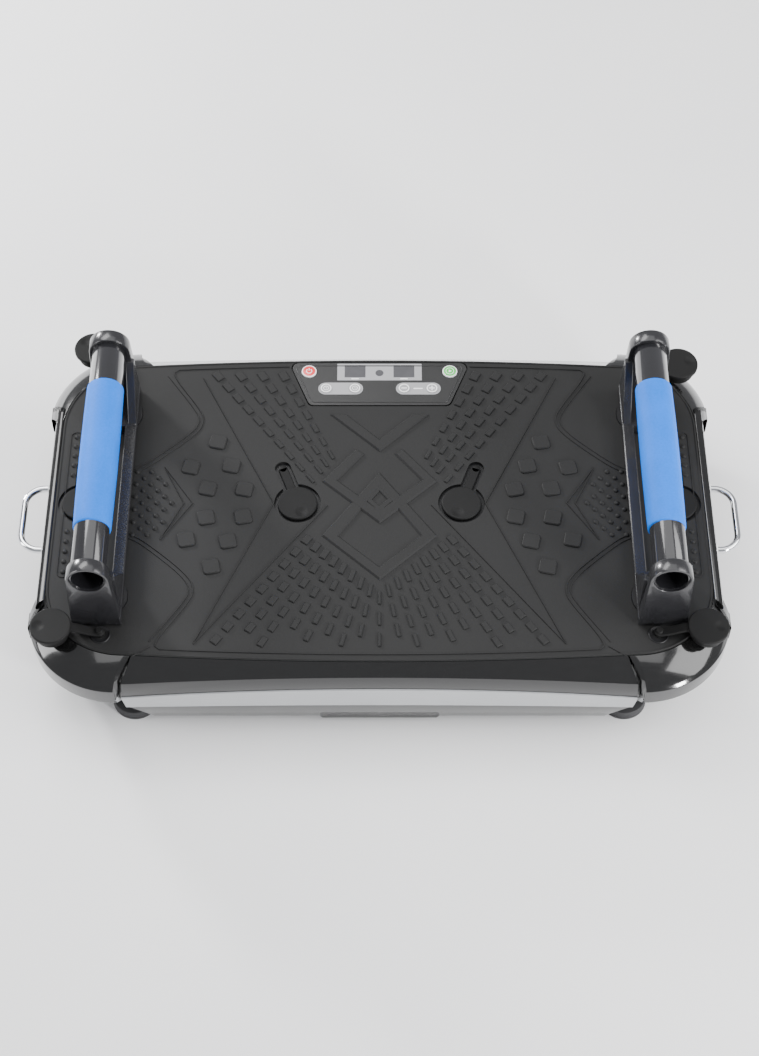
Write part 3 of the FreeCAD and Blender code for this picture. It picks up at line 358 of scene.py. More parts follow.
class Sheet:
    """Node tree of one material, ending in a Principled shader."""

    def __init__(self, name):
        self.material = bpy.data.materials.new(name)
        self.material.use_nodes = True
        self.tree = self.material.node_tree
        self.shader = self.tree.nodes["Principled BSDF"]
        self.place = self.node("ShaderNodeTexCoord", {}, {})

    def node(self, kind, settings, sockets):
        """Adds a node, sets its properties first and then its sockets, and gives its outputs as Wires."""
        made = self.tree.nodes.new(kind)
        for key, value in settings.items():
            setattr(made, key, value)
        for key, value in sockets.items():
            self.feed(made.inputs[key], value)
        return Outputs(self, made)

    def feed(self, socket, value):
        """Links a Wire to a socket, or sets a plain value."""
        if isinstance(value, Wire):
            self.tree.links.new(value.socket, socket)
        else:
            socket.default_value = value

    def noise(self, scale, detail=3.0, stretch=(1, 1, 1)):
        """Noise about 0.5 on the piece's own coordinates; scale counts features per metre."""
        mapped = self.node("ShaderNodeMapping", {}, {"Vector": self.place["Object"], "Scale": stretch})
        made = self.node("ShaderNodeTexNoise", {},
                         {"Vector": mapped["Vector"], "Scale": scale, "Detail": detail})
        return made["Fac"]

    def cells(self, scale):
        """Distance to the nearest of scattered points; scale counts cells per metre."""
        made = self.node("ShaderNodeTexVoronoi", {}, {"Vector": self.place["Object"], "Scale": scale})
        return made["Distance"]

    def ramp(self, factor, low, high, edges=(0.3, 0.7)):
        """Colour between low and high as factor passes between the two edges."""
        spread = self.node("ShaderNodeMapRange", {},
                           {"Value": factor, "From Min": edges[0], "From Max": edges[1]})
        mixed = self.node("ShaderNodeMix", {"data_type": "RGBA"},
                          {"Factor": spread["Result"], 6: (*low, 1), 7: (*high, 1)})
        return Wire(self, mixed.made.outputs[2])

    def bump(self, height, distance):
        """Normal tilted by a height that varies, whose full range is distance metres deep."""
        made = self.node("ShaderNodeBump", {}, {"Height": height, "Distance": distance, "Strength": 1.0})
        return made["Normal"]

    def finish(self, **sockets):
        """Sets or links sockets of the shader; underscores in a name stand for spaces."""
        for key, value in sockets.items():
            if isinstance(value, tuple) and len(value) == 3:
                value = (*value, 1)
            self.feed(self.shader.inputs[key.replace("_", " ")], value)
        return self.material


class Outputs:
    """A node's outputs as Wires, by name or number."""

    def __init__(self, sheet, made):
        self.sheet = sheet
        self.made = made

    def __getitem__(self, key):
        return Wire(self.sheet, self.made.outputs[key])


def shade(colour, factor):
    """Colour made darker or lighter by a factor, each channel at most 1."""
    return tuple(min(1.0, channel * factor) for channel in colour)


def moulded(name, colour, roughness, grain, depth, mottle, metallic=0.0, coat=0.0, shine=0.5):
    """Moulded or painted surface: fine grain, broad tone shifts and patches of slightly worn gloss."""
    sheet = Sheet(name)
    broad = sheet.noise(9.0, 4.0)
    fine = sheet.noise(grain, 2.0)
    tone = sheet.ramp(broad * 0.6 + fine * 0.4, shade(colour, 1 - mottle), shade(colour, 1 + mottle))
    worn = sheet.noise(38.0, 5.0)
    normal = sheet.bump(fine, depth)
    return sheet.finish(Base_Color=tone, Roughness=roughness + (worn - 0.5) * 0.12, Normal=normal,
                        Metallic=metallic, Coat_Weight=coat, Coat_Roughness=0.05, Specular_IOR_Level=shine)


def mat_rubber(colour):
    """Deck rubber: pebbled grain, scuffed paler patches and fine dust in the grain."""
    sheet = Sheet("deck rubber")
    pebble = sheet.cells(900.0)
    fine = sheet.noise(2600.0, 2.0)
    scuff = sheet.noise(14.0, 6.0)
    tone = sheet.ramp(scuff * 0.7 + fine * 0.3, shade(colour, 0.86), shade(colour, 1.16))
    normal = sheet.bump(pebble * 0.6 + fine * 0.4, 0.00012)
    return sheet.finish(Base_Color=tone, Roughness=0.62 + (scuff - 0.5) * 0.25, Normal=normal,
                        Specular_IOR_Level=0.22)


def gloss_shell(colour):
    """High-gloss moulding: deep black, faint orange peel and hairline swirls in the gloss."""
    sheet = Sheet("gloss black moulding")
    peel = sheet.noise(160.0, 2.0)
    swirl = sheet.noise(60.0, 8.0, (1, 6, 1))
    normal = sheet.bump(peel, 0.00004)
    tone = sheet.ramp(swirl, shade(colour, 0.9), shade(colour, 1.15))
    return sheet.finish(Base_Color=tone, Roughness=0.13 + (swirl - 0.5) * 0.1, Normal=normal, Coat_Weight=0.6,
                        Coat_Roughness=0.04)


def foam(colour):
    """Closed-cell foam: small open pores, soft mottling, a matt sheen."""
    sheet = Sheet("blue grip foam")
    pores = sheet.cells(1100.0)
    skin = sheet.noise(420.0, 4.0)
    tone = sheet.ramp(skin * 0.5 + sheet.noise(25.0) * 0.5, shade(colour, 0.88), shade(colour, 1.1))
    normal = sheet.bump(pores * 0.7 + skin * 0.3, 0.00025)
    return sheet.finish(Base_Color=tone, Roughness=0.5 + (skin - 0.5) * 0.2, Normal=normal,
                        Specular_IOR_Level=0.12)


def brushed(name, colour, roughness, metallic, stretch):
    """Lacquered or plated metal look: long fine streaks along one axis."""
    sheet = Sheet(name)
    streak = sheet.noise(900.0, 3.0, stretch)
    broad = sheet.noise(11.0, 3.0)
    tone = sheet.ramp(streak * 0.6 + broad * 0.4, shade(colour, 0.92), shade(colour, 1.07))
    normal = sheet.bump(streak, 0.00002)
    return sheet.finish(Base_Color=tone, Roughness=roughness + (streak - 0.5) * 0.14, Normal=normal,
                        Metallic=metallic, Coat_Weight=0.2, Coat_Roughness=0.1)


def dark_glass(name, colour):
    """Smoked display window: glossy, with faint finger marks."""
    sheet = Sheet(name)
    marks = sheet.noise(70.0, 6.0)
    tone = sheet.ramp(marks, shade(colour, 0.94), shade(colour, 1.06))
    return sheet.finish(Base_Color=tone, Roughness=0.12 + marks.power(2.0) * 0.2)


FINISHES = {}


def make_finishes(colours):
    """Every finish on the object, under the record's slot names."""
    FINISHES.update({
        "mat_rubber": mat_rubber(colours.mat),
        "shell_gloss": gloss_shell(colours.shell),
        "trim_silver": brushed("silver trim", colours.trim, 0.32, 0.35, (0.04, 1, 1)),
        "panel_film": moulded("panel film", colours.panel, 0.38, 1500.0, 0.00003, 0.06),
        "display_grey": moulded("grey print", colours.print_grey, 0.45, 900.0, 0.00001, 0.04),
        "print_white": moulded("white print", (0.86, 0.86, 0.86), 0.4, 900.0, 0.00001, 0.03),
        "board_green": moulded("solder mask", (0.02, 0.16, 0.07), 0.35, 500.0, 0.00003, 0.15),
        "button_red": moulded("red button", colours.red, 0.33, 700.0, 0.00002, 0.06, coat=0.3),
        "button_green": moulded("green button", colours.green, 0.33, 700.0, 0.00002, 0.06, coat=0.3),
        "button_dark": moulded("dark print", (0.07, 0.07, 0.075), 0.4, 900.0, 0.00002, 0.06),
        "display_glass": dark_glass("smoked window", (0.075, 0.075, 0.08)),
        "plug_rubber": moulded("plug rubber", colours.plug, 0.6, 1500.0, 0.00007, 0.16, shine=0.16),
        "grip_foam": foam(colours.foam),
        "tube_black": moulded("black lacquer", (0.014, 0.014, 0.016), 0.16, 220.0, 0.00002, 0.1, coat=0.8),
        "bar_plastic": moulded("bar moulding", (0.018, 0.018, 0.02), 0.24, 800.0, 0.00004, 0.12, coat=0.25),
        "loop_chrome": brushed("chrome", (0.72, 0.73, 0.75), 0.1, 1.0, (1, 0.05, 1)),
        "collar_white": moulded("white nylon", (0.78, 0.78, 0.77), 0.42, 700.0, 0.00004, 0.04),
        "steel_zinc": brushed("zinc plate", (0.5, 0.51, 0.52), 0.34, 1.0, (1, 1, 0.08)),
        "pan_black": moulded("powder coat", (0.022, 0.022, 0.024), 0.5, 1100.0, 0.00012, 0.12),
        "foot_rubber": moulded("foot rubber", (0.03, 0.03, 0.032), 0.6, 1300.0, 0.00008, 0.15),
        "motor_can": moulded("painted steel", (0.15, 0.15, 0.16), 0.4, 600.0, 0.00005, 0.1, metallic=0.5),
        "housing_black": moulded("satin housing", (0.012, 0.012, 0.013), 0.42, 900.0, 0.00007, 0.12,
                                 shine=0.25),
    })


# ---------------------------------------------------------------- what a user would change
def length(name, text, value):
    """Property that holds a length in metres."""
    return FloatProperty(name=name, description=text, default=value, unit="LENGTH", precision=4)


def colour(name, text, value):
    """Property that holds a colour."""
    return FloatVectorProperty(name=name, description=text, default=value, subtype="COLOR", size=3, min=0.0,
                               max=1.0)


class PlateSizes(bpy.types.PropertyGroup):
    """Sizes of the visible surfaces that the frame doesn't fix."""
    pad_height: length("Pad height", "How far the mat's large raised shapes stand up", 0.0022)
    line_height: length("Line height", "How far the mat's outlines stand up", 0.0012)
    bevel: length("Bevel", "Bevel round the mat's raised shapes", 0.0005)
    seam: length("Seam", "Gap between neighbouring shell pieces", 0.0006)
    rim_round: length("Rim round", "Radius of the shell's outer edge", 0.0018)
    barrel: length("Barrel", "How much slimmer a grip is at its ends than in the middle", 0.0009)
    plug_round: length("Plug edge", "Radius round a plug's disc", 0.0016)
    dent: length("Thumb dent", "Depth of the thumb dent in a plug", 0.0016)


class PlateColours(bpy.types.PropertyGroup):
    """Base colours of the finishes."""
    mat: colour("Mat", "Deck rubber", (0.015, 0.015, 0.015))
    shell: colour("Shell", "Glossy black mouldings", (0.006, 0.006, 0.006))
    trim: colour("Trim", "Silver strips", (0.42, 0.43, 0.44))
    panel: colour("Panel", "Control panel's film", (0.012, 0.012, 0.012))
    print_grey: colour("Grey print", "Grey pads and display frame", (0.31, 0.31, 0.32))
    plug: colour("Plugs", "Rubber plugs", (0.009, 0.009, 0.009))
    foam: colour("Grips", "Foam on the bars", (0.000, 0.165, 0.760))
    red: colour("Power button", "Red button", (0.72, 0.030, 0.035))
    green: colour("Start button", "Green button", (0.055, 0.50, 0.075))


# ---------------------------------------------------------------- deck outline
CORNER_R = 0.090                      # mat's corner radius
BOW = 0.0085                          # front and back edges bow out by this much
HALF_X = MAT_HIGH.x
HALF_Y = MAT_HIGH.y - BOW
ARCH_HALF = HALF_X - CORNER_R


def arch(x):
    """1 at the middle of a front or back edge, falling to 0 at the corners as a parabola."""
    return 1 - np.minimum(1.0, (np.asarray(x) / ARCH_HALF) ** 2)


def edge_y(x):
    """Y of the mat's back edge at x."""
    return HALF_Y + BOW * arch(x)


def mat_outline(inwards, count=40):
    """Mat's outline moved inwards: straight sides, round corners, bowed front and back."""
    top = np.linspace(ARCH_HALF, -ARCH_HALF, count)
    back = np.column_stack([top, edge_y(top) - inwards])
    corner = arc((ARCH_HALF, HALF_Y - CORNER_R), CORNER_R - inwards, 0, 90, 16)[:-1]
    left = corner[::-1] * (-1, 1)
    upper = np.vstack([corner, back, left])
    return np.vstack([upper, upper[::-1] * (1, -1)])


# ---------------------------------------------------------------- mat embossing
DIAMOND_OUT = [(0, 43), (65, -45), (0, -104), (-65, -45)]
DIAMOND_IN = [(0, 20), (46, -45), (0, -86), (-46, -45)]
SQUARES = ((187, 86), (216.6, 50), (170, 52), (195.7, 20), (154, 19))
BUMP_COUNTS = (1, 4, 5, 6, 5, 6)
FAN_RAYS = (((191, 183), (79, 34), 10), ((164, 183), (70, 47), 9), ((138, 183), (63, 57), 8),
            ((113, 183), (56, 68), 7))
LONG_LINES = (((208, 180), (120, 0), (201, -183)), ((59, -3), (202, -186)))
FRONT_RAYS = 9


def brick(centre, along, width, run):
    """Plan rectangle on a ray, its far side slanted so that it points along the ray."""
    along = np.asarray(along, float) / np.hypot(*along)
    side = np.array([-along[1], along[0]])
    half = np.array([[-1, -1], [1, -1], [1, 1], [-1, 1]]) * (run / 2, width / 2)
    return np.asarray(centre) + half[:, :1] * along + half[:, 1:] * side


def rear_fan():
    """Rays of bricks at one side behind: widths shrink from 10 to 4 mm towards the middle of the deck."""
    bricks = []
    for start, stop, count in FAN_RAYS:
        start = np.array(start, float)
        stop = np.array(stop, float)
        for share in np.linspace(0, 1, count):
            centre = start + (stop - start) * share
            bricks.append(brick(centre, stop - start, 10.0 - 6.0 * share, 13.0) * MM)
    return bricks


def front_fan():
    """Rays of bricks that spread from below the diamond to the front edge, on one side."""
    bricks = []
    for ray in range(FRONT_RAYS):
        slope = 0.11 + 0.078 * ray if ray else 0.0
        pitch = 27.0 - 0.85 * ray
        top = np.array([10.2 * ray, -127.0 + 9.6 * ray])
        along = np.array([slope, -1.0])
        step = along / np.hypot(*along) * pitch
        last = -187.0 if ray % 2 == 0 else -180.0
        count = int(np.floor((top[1] - last) / -step[1])) + 1
        for number in range(count):
            centre = top + step * number
            share = ray / (FRONT_RAYS - 1)
            bricks.append(brick(centre, along, 3.2 + 5.2 * share, 17.0 - 5.0 * share) * MM)
    return bricks


def bumps(centres, radius, height, base):
    """Round domes as one array: two rings and a flat top, the same 10-sided shape at every centre."""
    angle = np.linspace(0, 2 * pi, 10, endpoint=False)
    ring = np.column_stack([np.cos(angle), np.sin(angle)])
    shell = Shell()
    for centre in centres:
        rows = [at_height(np.asarray(centre) + ring * radius * scale, base + height * lift)
                for scale, lift in ((1.0, 0.0), (0.86, 0.62), (0.5, 1.0))]
        shell.grid(np.array(rows), close_columns=True, cap_rows=True)
    return shell


def side_bumps():
    """Staggered columns beside the arrow, and one column along the outer strip, in metres."""
    centres = []
    for column, count in enumerate(BUMP_COUNTS):
        x = 235.7 + 8.35 * column
        ys = (np.arange(count) - (count - 1) / 2) * 17.4
        centres.extend((x, y) for y in ys)
    strip = np.arange(39, 99, 13.5)
    centres.extend((351.0, y) for y in np.concatenate([strip, -strip]))
    return [(x * MM, y * MM) for x, y in centres]


def both_sides(outlines):
    """Outlines as given and mirrored to the left."""
    return list(outlines) + [np.asarray(outline) * (-1, 1) for outline in outlines]


# ---------------------------------------------------------------- mat
TOP_V = [(0, 72), (58, 126), (38, 126), (0, 90), (-38, 126), (-58, 126)]
OPEN_V = [(0, -28.6), (66, 30), (27, 76), (17, 69), (48, 31.5), (0, -10), (-48, 31.5), (-17, 69), (-27, 76),
          (-66, 30)]
SMALL_OUT = [(0, 26), (17, 4), (0, -14), (-17, 4)]
SMALL_IN = [(0, 16), (8.5, 5), (0, -4), (-8.5, 5)]
PAD_LINE = [(246, 186), (210, 134), (204, 118), (211, 98), (263, 52), (280, 43)]
SEAM_LINE = [(248, -189), (266, -201)]
EDGE_LINE = 0.0085                    # outline that follows the mat's long edges, inside them
ARROW_IN = [(245, 47), (222, 0), (245, -47)]
ARROW_OUT = [(246, 50), (212, 0), (246, -50)]
SQUARE_HALF = 0.0098
SQUARE_TURN = 12.0                    # degrees
WIDE_LINE = 0.0016
MID_LINE = 0.0014
THIN_LINE = 0.0012
LINE_GAP = 0.005                      # from a pad's outline to the thin line beside it
SIDE_STRIP = (0.3445, 0.3575, -0.1, 0.1, 0.006)     # x and y limits and corner radius
BUMP_R = 0.0031


def in_metres(corners):
    """Corners given in millimetres, in metres."""
    return np.asarray(corners, float) * MM


def turned_square(centre, half, angle, radius):
    """Rounded square turned about its own centre."""
    corners = np.array([(1, 1), (-1, 1), (-1, -1), (1, -1)], float) * half
    c, s = cos(radians(angle)), sin(radians(angle))
    return rounded_polygon(corners @ np.array([[c, s], [-s, c]]) + centre, radius, 4)


def smoothed(points, rounds=3):
    """Open plan line with its bends rounded: each round replaces a corner by the quarter points beside it."""
    for _ in range(rounds):
        near = 0.75 * points[:-1] + 0.25 * points[1:]
        far = 0.25 * points[:-1] + 0.75 * points[1:]
        points = np.vstack([points[:1], np.stack([near, far], 1).reshape(-1, 2), points[-1:]])
    return points


def pad_outline(start):
    """Outline of the middle pad in one quarter: along the mat's long edge from start, then round its side."""
    reach = np.linspace(start, PAD_LINE[0][0] * MM - 0.008, 24)
    edge = np.column_stack([reach, edge_y(reach) - EDGE_LINE])
    return np.vstack([edge[:-1], smoothed(np.vstack([edge[-1:], in_metres(PAD_LINE)]))])


def inset_line(points, distance):
    """Plan line moved sideways by a distance, mitred at its corners."""
    return ribbon(points, 2 * distance)[0]


def raised_shapes(shell, sizes):
    """Diamonds, arrow heads, squares and fans of bricks."""
    base = DECK_Z
    pad = sizes.pad_height
    broad = 3.6 * sizes.bevel
    raised(shell, in_metres(TOP_V), base, pad, broad)
    raised(shell, in_metres(OPEN_V), base, pad, broad)
    framed(shell, in_metres(DIAMOND_OUT), in_metres(DIAMOND_IN), base, pad * 0.92, broad)
    framed(shell, in_metres(SMALL_OUT), in_metres(SMALL_IN), base, pad * 0.84, sizes.bevel * 2)
    for x, y in SQUARES:
        for side in (-1, 1):
            for back in ((-1, 1) if y > 0 else (1,)):
                centre = np.array([side * x, back * y]) * MM
                square = turned_square(centre, SQUARE_HALF, side * back * SQUARE_TURN, 0.004)
                raised(shell, square, base, pad, 0.6 * broad)
    for outline in both_sides(rear_fan() + front_fan()):
        raised(shell, outline, base, pad * 0.85, sizes.bevel * 1.6)


def raised_lines(shell, line):
    """Outlines of the pads, the arrows and the side strips, line metres high."""
    base = DECK_Z
    for side in (-1, 1):
        for back in (-1, 1):
            sign = np.array([side, back])
            outline = pad_outline(PANEL_HIGH.x + 0.004 if back > 0 else 0.0)
            ridge(shell, outline * sign, WIDE_LINE, line, base, 0.0004)
            inner = inset_line(smoothed(in_metres(PAD_LINE)) * sign, LINE_GAP * side * back)
            ridge(shell, inner, THIN_LINE, line * 0.8, base, 0.0003)
        for path in (SEAM_LINE, *LONG_LINES, ARROW_IN, ARROW_OUT):
            ridge(shell, in_metres(path) * (side, 1), MID_LINE, line, base, 0.0004)
        strip = rectangle(*SIDE_STRIP)
        ridge(shell, strip * (side, 1), THIN_LINE, line * 0.8, base, 0.0003, closed=True)


class PLATE_OT_mat(bpy.types.Operator):
    """Raised shapes, bumps, outlines and rim of the deck mat"""
    bl_idname = "plate.mat"
    bl_label = "Deck mat embossing"

    def execute(self, context):
        sizes = context.scene.plate_sizes
        rubber = FINISHES["mat_rubber"]
        shapes = Shell()
        raised_shapes(shapes, sizes)
        raised_lines(shapes, sizes.line_height)
        shapes.piece("mat_shapes", "deck", rubber, "mat_rubber", angle=25.0)
        dots = bumps(side_bumps() + [(-x, y) for x, y in side_bumps()], BUMP_R, sizes.pad_height, DECK_Z)
        dots.piece("mat_bumps", "deck", rubber, "mat_rubber", angle=50.0)
        rim = Shell()
        ridge(rim, mat_outline(0.0016), 0.0022, sizes.line_height * 0.7, DECK_Z, 0.0006, closed=True)
        rim.piece("mat_rim", "deck", rubber, "mat_rubber", angle=50.0)
        return {"FINISHED"}


# ---------------------------------------------------------------- shell round the deck
SEAM_X = 0.268                        # front and back seams start here at the mat's corner line
SEAM_LEAN = 0.5
SIDE_SEAM_Y = 0.128
SIDE_LEAN = 0.9
RIM = (CAP_HIGH.x, CAP_HIGH.y, 0.100, DECK_Z - 0.020)
FOOT_Z = CAP_LOW.z
WALL = 0.003
CHAMFER = 0.0060                      # a cap's end beside the skirt is drawn in by this much at its rim
CHAMFER_RUN = 0.0065
WALL_END = 0.078                      # bottom of a corner cap's upright wall
BAND_END = 0.061                      # bottom of the pale band below it
BAND_IN = 0.0106                      # how far the band leans in
TUCK = 0.034                          # how far a cap's foot stands in from its rim


def corner_path(half_x, half_y, radius, gap, chamfer=True):
    """Plan path of the shell at the back right corner, from its back seam round to its side seam.

    The end beside the skirt is drawn in by a share of the chamfer that grows from the lip to the rim.
    """
    seam_x = SEAM_X + SEAM_LEAN * (half_y - HALF_Y) + gap
    seam_y = SIDE_SEAM_Y + SIDE_LEAN * (half_x - HALF_X) + gap
    drawn = CHAMFER * min(1.0, max(0.0, (half_y - HALF_Y) / (RIM[1] - HALF_Y))) if chamfer else 0.0
    start = np.array([(seam_x, half_y - drawn), (seam_x + CHAMFER_RUN, half_y)])
    bend = arc((half_x - radius, half_y - radius), radius, 90, 0, 33)
    side = np.array([(half_x, seam_y + CHAMFER_RUN), (half_x, seam_y)])
    return np.vstack([start, bend, side])


def corner_loft(levels, gap, hollow=0, chamfer=True):
    """Sections of a closed loft through levels (half_x, half_y, radius, z).

    The last hollow levels are its inside. At both ends they move out to the lip's line, so that the ends
    are solid.
    """
    rows = []
    lip_x, lip_y, lip_r = levels[0][:3]
    for number, (half_x, half_y, radius, z) in enumerate(levels):
        path = corner_path(half_x, half_y, radius, gap, chamfer)
        if number >= len(levels) - hollow:
            solid = corner_path(lip_x, lip_y, lip_r, gap, False)
            for end in (0, 1, -2, -1):
                path[end] = solid[end]
        rows.append(at_height(path, z))
    return np.array(rows).transpose(1, 0, 2)


def stepped(first, last, count, bulge=0.0):
    """Levels between two levels; bulge pushes the middle of the run outwards and upwards."""
    share = np.linspace(0, 1, count)[:, None]
    run = np.asarray(first) * (1 - share) + np.asarray(last) * share
    lift = 4 * share[:, 0] * (1 - share[:, 0]) * bulge
    run[:, 0] += lift
    run[:, 1] += lift
    run[:, 3] += lift
    return run


def rim_level(inwards, z):
    """Level (half_x, half_y, radius, z) on the shell's rim outline moved inwards."""
    return (RIM[0] - inwards, RIM[1] - inwards, RIM[2] - inwards, z)


def lip_level(out, z):
    """Level (half_x, half_y, radius, z) on the mat's outline moved outwards."""
    return (HALF_X + out, HALF_Y + out, CORNER_R + out, z)


def cap_levels(sizes):
    """Loop of levels round a corner cap's section: lip, slope, round rim, wall, foot and back up inside."""
    rim_z = RIM[3]
    turn = sizes.rim_round
    lip = [lip_level(0.0006, DECK_Z - 0.0008)]
    slope = stepped(lip_level(0.0012, DECK_Z - 0.0004), rim_level(turn, rim_z + 0.0012), 9, 0.0012)
    rim = []
    for angle in np.radians(np.linspace(55, 0, 5)):
        rim.append(rim_level(turn - turn * cos(angle), rim_z - turn + turn * sin(angle)))
    wall = [rim_level(0.0, WALL_END + 0.0007), rim_level(0.0006, WALL_END), rim_level(0.0016, WALL_END),
            rim_level(BAND_IN, BAND_END), rim_level(BAND_IN + 0.001, BAND_END), rim_level(TUCK, FOOT_Z)]
    inside = [rim_level(TUCK + WALL, FOOT_Z), rim_level(BAND_IN + 0.001 + WALL, BAND_END),
              rim_level(0.0016 + WALL, WALL_END - 0.002), rim_level(WALL + turn, rim_z - WALL),
              lip_level(0.0006, DECK_Z - 0.007)]
    return lip + [tuple(level) for level in slope] + rim + wall + inside


def cap_band_levels():
    """Pale band that leans in below the corner cap's wall."""
    return [rim_level(0.0022, WALL_END - 0.0002), rim_level(0.0010, WALL_END - 0.0002),
            rim_level(0.0008, WALL_END - 0.0008), rim_level(BAND_IN - 0.001, BAND_END + 0.0004),
            rim_level(BAND_IN, BAND_END), rim_level(BAND_IN + 0.001, BAND_END)]


class PLATE_OT_corners(bpy.types.Operator):
    """Four glossy corner caps, each with its pale band"""
    bl_idname = "plate.corners"
    bl_label = "Corner caps"

    def execute(self, context):
        sizes = context.scene.plate_sizes
        cap = loft(Shell(), corner_loft(cap_levels(sizes), sizes.seam, 5))
        band = loft(Shell(), corner_loft(cap_band_levels(), sizes.seam + 0.0002))
        for name, sx, sy in CORNERS:
            cap.mirrored(sx, sy).piece("cap_" + name, "deck", FINISHES["shell_gloss"], "shell_gloss",
                                       replaced=["corner_cap_" + name])
            band.mirrored(sx, sy).piece("cap_band_" + name, "deck", FINISHES["trim_silver"], "trim_silver")
        return {"FINISHED"}


def skirt_row(x, row):
    """Y and z of one line of a skirt at x.

    The row is (outwards at the ends, change to the middle, z, change in z, inwards).
    """
    out, out_change, z, z_change, inwards = row
    rise = arch(x)
    return (HALF_Y + out + out_change * rise - inwards, z + z_change * rise)


LIP_OUT = (0.0006, BOW, DECK_Z - 0.0005, 0.0)
BROW = (0.025, -0.003, DECK_Z - 0.022, 0.009)
STRIP_TOP = (0.027, -0.003, DECK_Z - 0.045, 0.012)
STRIP_LOW = (0.026, -0.001, DECK_Z - 0.068, 0.003)
SKIRT_FOOT = (0.017, 0.0, 0.016, 0.0)
CUTS = ((0.030, 0.025), (0.060, 0.003))             # rows below the first number end the second short
STRIP_PROUD = 0.0015                  # the most that a trim strip stands out from its skirt


def lowered(line, drop, inwards):
    """Row of a skirt: a line of it moved down and inwards."""
    out, out_change, z, z_change = line
    return (out, out_change, z - drop, z_change, inwards)


def skirt_rows():
    """Loop of rows round a skirt's section, outside from the lip to the foot and back up inside."""
    outer = [(*LIP_OUT, 0.0), lowered(BROW, -0.0006, 0.0014), lowered(BROW, 0.0012, 0.0002),
             (*STRIP_TOP, 0.0), (*STRIP_LOW, 0.0), lowered(SKIRT_FOOT, -0.001, 0.0), (*SKIRT_FOOT, 0.0008)]
    inner = [(*SKIRT_FOOT, WALL), (*STRIP_LOW, WALL), (*STRIP_TOP, WALL), lowered(BROW, 0.003, WALL + 0.001),
             lowered(LIP_OUT, 0.0085, 0.0)]
    return outer + inner


def strip_rows(proud):
    """Loop of rows round the trim strip: bevelled top and bottom edges, standing proud of the skirt."""
    return [(*STRIP_TOP, 0.0006), lowered(STRIP_TOP, 0.0001, -proud * 0.6),
            lowered(STRIP_TOP, 0.0008, -proud), lowered(STRIP_LOW, -0.0008, -proud),
            lowered(STRIP_LOW, -0.0001, -proud * 0.6), (*STRIP_LOW, 0.0006)]


def cut_back(z):
    """How far short of the seam a skirt's row ends: most at the foot, none above the strip's lower edge."""
    for below, short in CUTS:
        if z < below:
            return short
    return 0.0


def skirt_loft(shell, rows, x_from, x_to, gap, count):
    """Closed loft of rows along X between two shares of the seam-to-seam width (-1 to 1)."""
    share = np.linspace(x_from, x_to, count)
    loops = []
    for row in rows:
        y, _ = skirt_row(np.full(1, ARCH_HALF * 0.97), row)
        reach = SEAM_X + SEAM_LEAN * (float(y[0]) - HALF_Y) - gap - cut_back(row[2])
        x = share * reach
        out, z = skirt_row(x, row)
        loops.append(np.column_stack([x, out, z]))
    return loft(shell, np.array(loops).transpose(1, 0, 2))


NOTCH = (-0.094, -0.022, 0.058)       # service notch of the back skirt: x limits and top


def back_parts(rows, gap):
    """Back skirt with its service notch: whole above it, and two pieces beside it."""
    shell = Shell()
    low, high = NOTCH[0] / SEAM_X, NOTCH[1] / SEAM_X
    skirt_loft(shell, rows, -1, low, gap, 24)
    skirt_loft(shell, rows, high, 1, gap, 40)
    upper = [row for row in rows if row[2] > NOTCH[2]]
    skirt_loft(shell, upper, low, high, gap, 12)
    return shell


TAB = (0.068, 0.216, 0.012)           # tab under the front skirt: half width, outer face and bottom


def front_tab(shell):
    """Short tab under the middle of the front skirt."""
    half, face, bottom = TAB
    outline = [(-half, 0.018), (-half + 0.004, bottom), (half - 0.004, bottom), (half, 0.018)]
    return plate(shell, outline, face - WALL, face, 0.0005, axis="y")


class PLATE_OT_skirts(bpy.types.Operator):
    """Front and back skirts with their silver strips"""
    bl_idname = "plate.skirts"
    bl_label = "Skirts and trim"

    def execute(self, context):
        sizes = context.scene.plate_sizes
        proud = min(STRIP_HIGH.y - (HALF_Y + STRIP_LOW[0] + 0.0002), STRIP_PROUD)
        for name, side, notch in (("front", -1, False), ("back", 1, True)):
            for piece, rows, finish, node in (("skirt_", skirt_rows(), "shell_gloss", "_skirt"),
                                              ("strip_", strip_rows(proud), "trim_silver", "_trim_strip")):
                if notch:
                    shell = back_parts(rows, sizes.seam)
                else:
                    shell = skirt_loft(Shell(), rows, -1, 1, sizes.seam, 64)
                    if piece == "skirt_":
                        front_tab(shell)
                shell.mirrored(1, side).piece(piece + name, "deck", FINISHES[finish], finish,
                                              replaced=[name + node])
        return {"FINISHED"}


SCALLOP_HALF = 0.0344
SCALLOP_DEPTH = 0.004
SCALLOP_Z = (0.1023, 0.0778)          # top and bottom of the scallop
RAIL_OUT = HALF_X + 0.010


def rail_loop(y, gap):
    """Section (X, Z) of a side rail at y; the scallop hollows its face between two heights."""
    depth = SCALLOP_DEPTH * max(0.0, 1 - (y / SCALLOP_HALF) ** 2)
    face = RAIL_OUT
    high, low = SCALLOP_Z
    return [(HALF_X + gap, DECK_Z - 0.0006), (HALF_X + gap + 0.0006, DECK_Z - 0.0002),
            (face - 0.0045, DECK_Z - 0.0002), (face - 0.0012, DECK_Z - 0.0016), (face, DECK_Z - 0.0048),
            (face, high), (face - depth, high - 0.0005), (face - depth, low + 0.0004), (face, low),
            (face - 0.010, FOOT_Z), (face - 0.0128, FOOT_Z), (HALF_X + gap, low)]


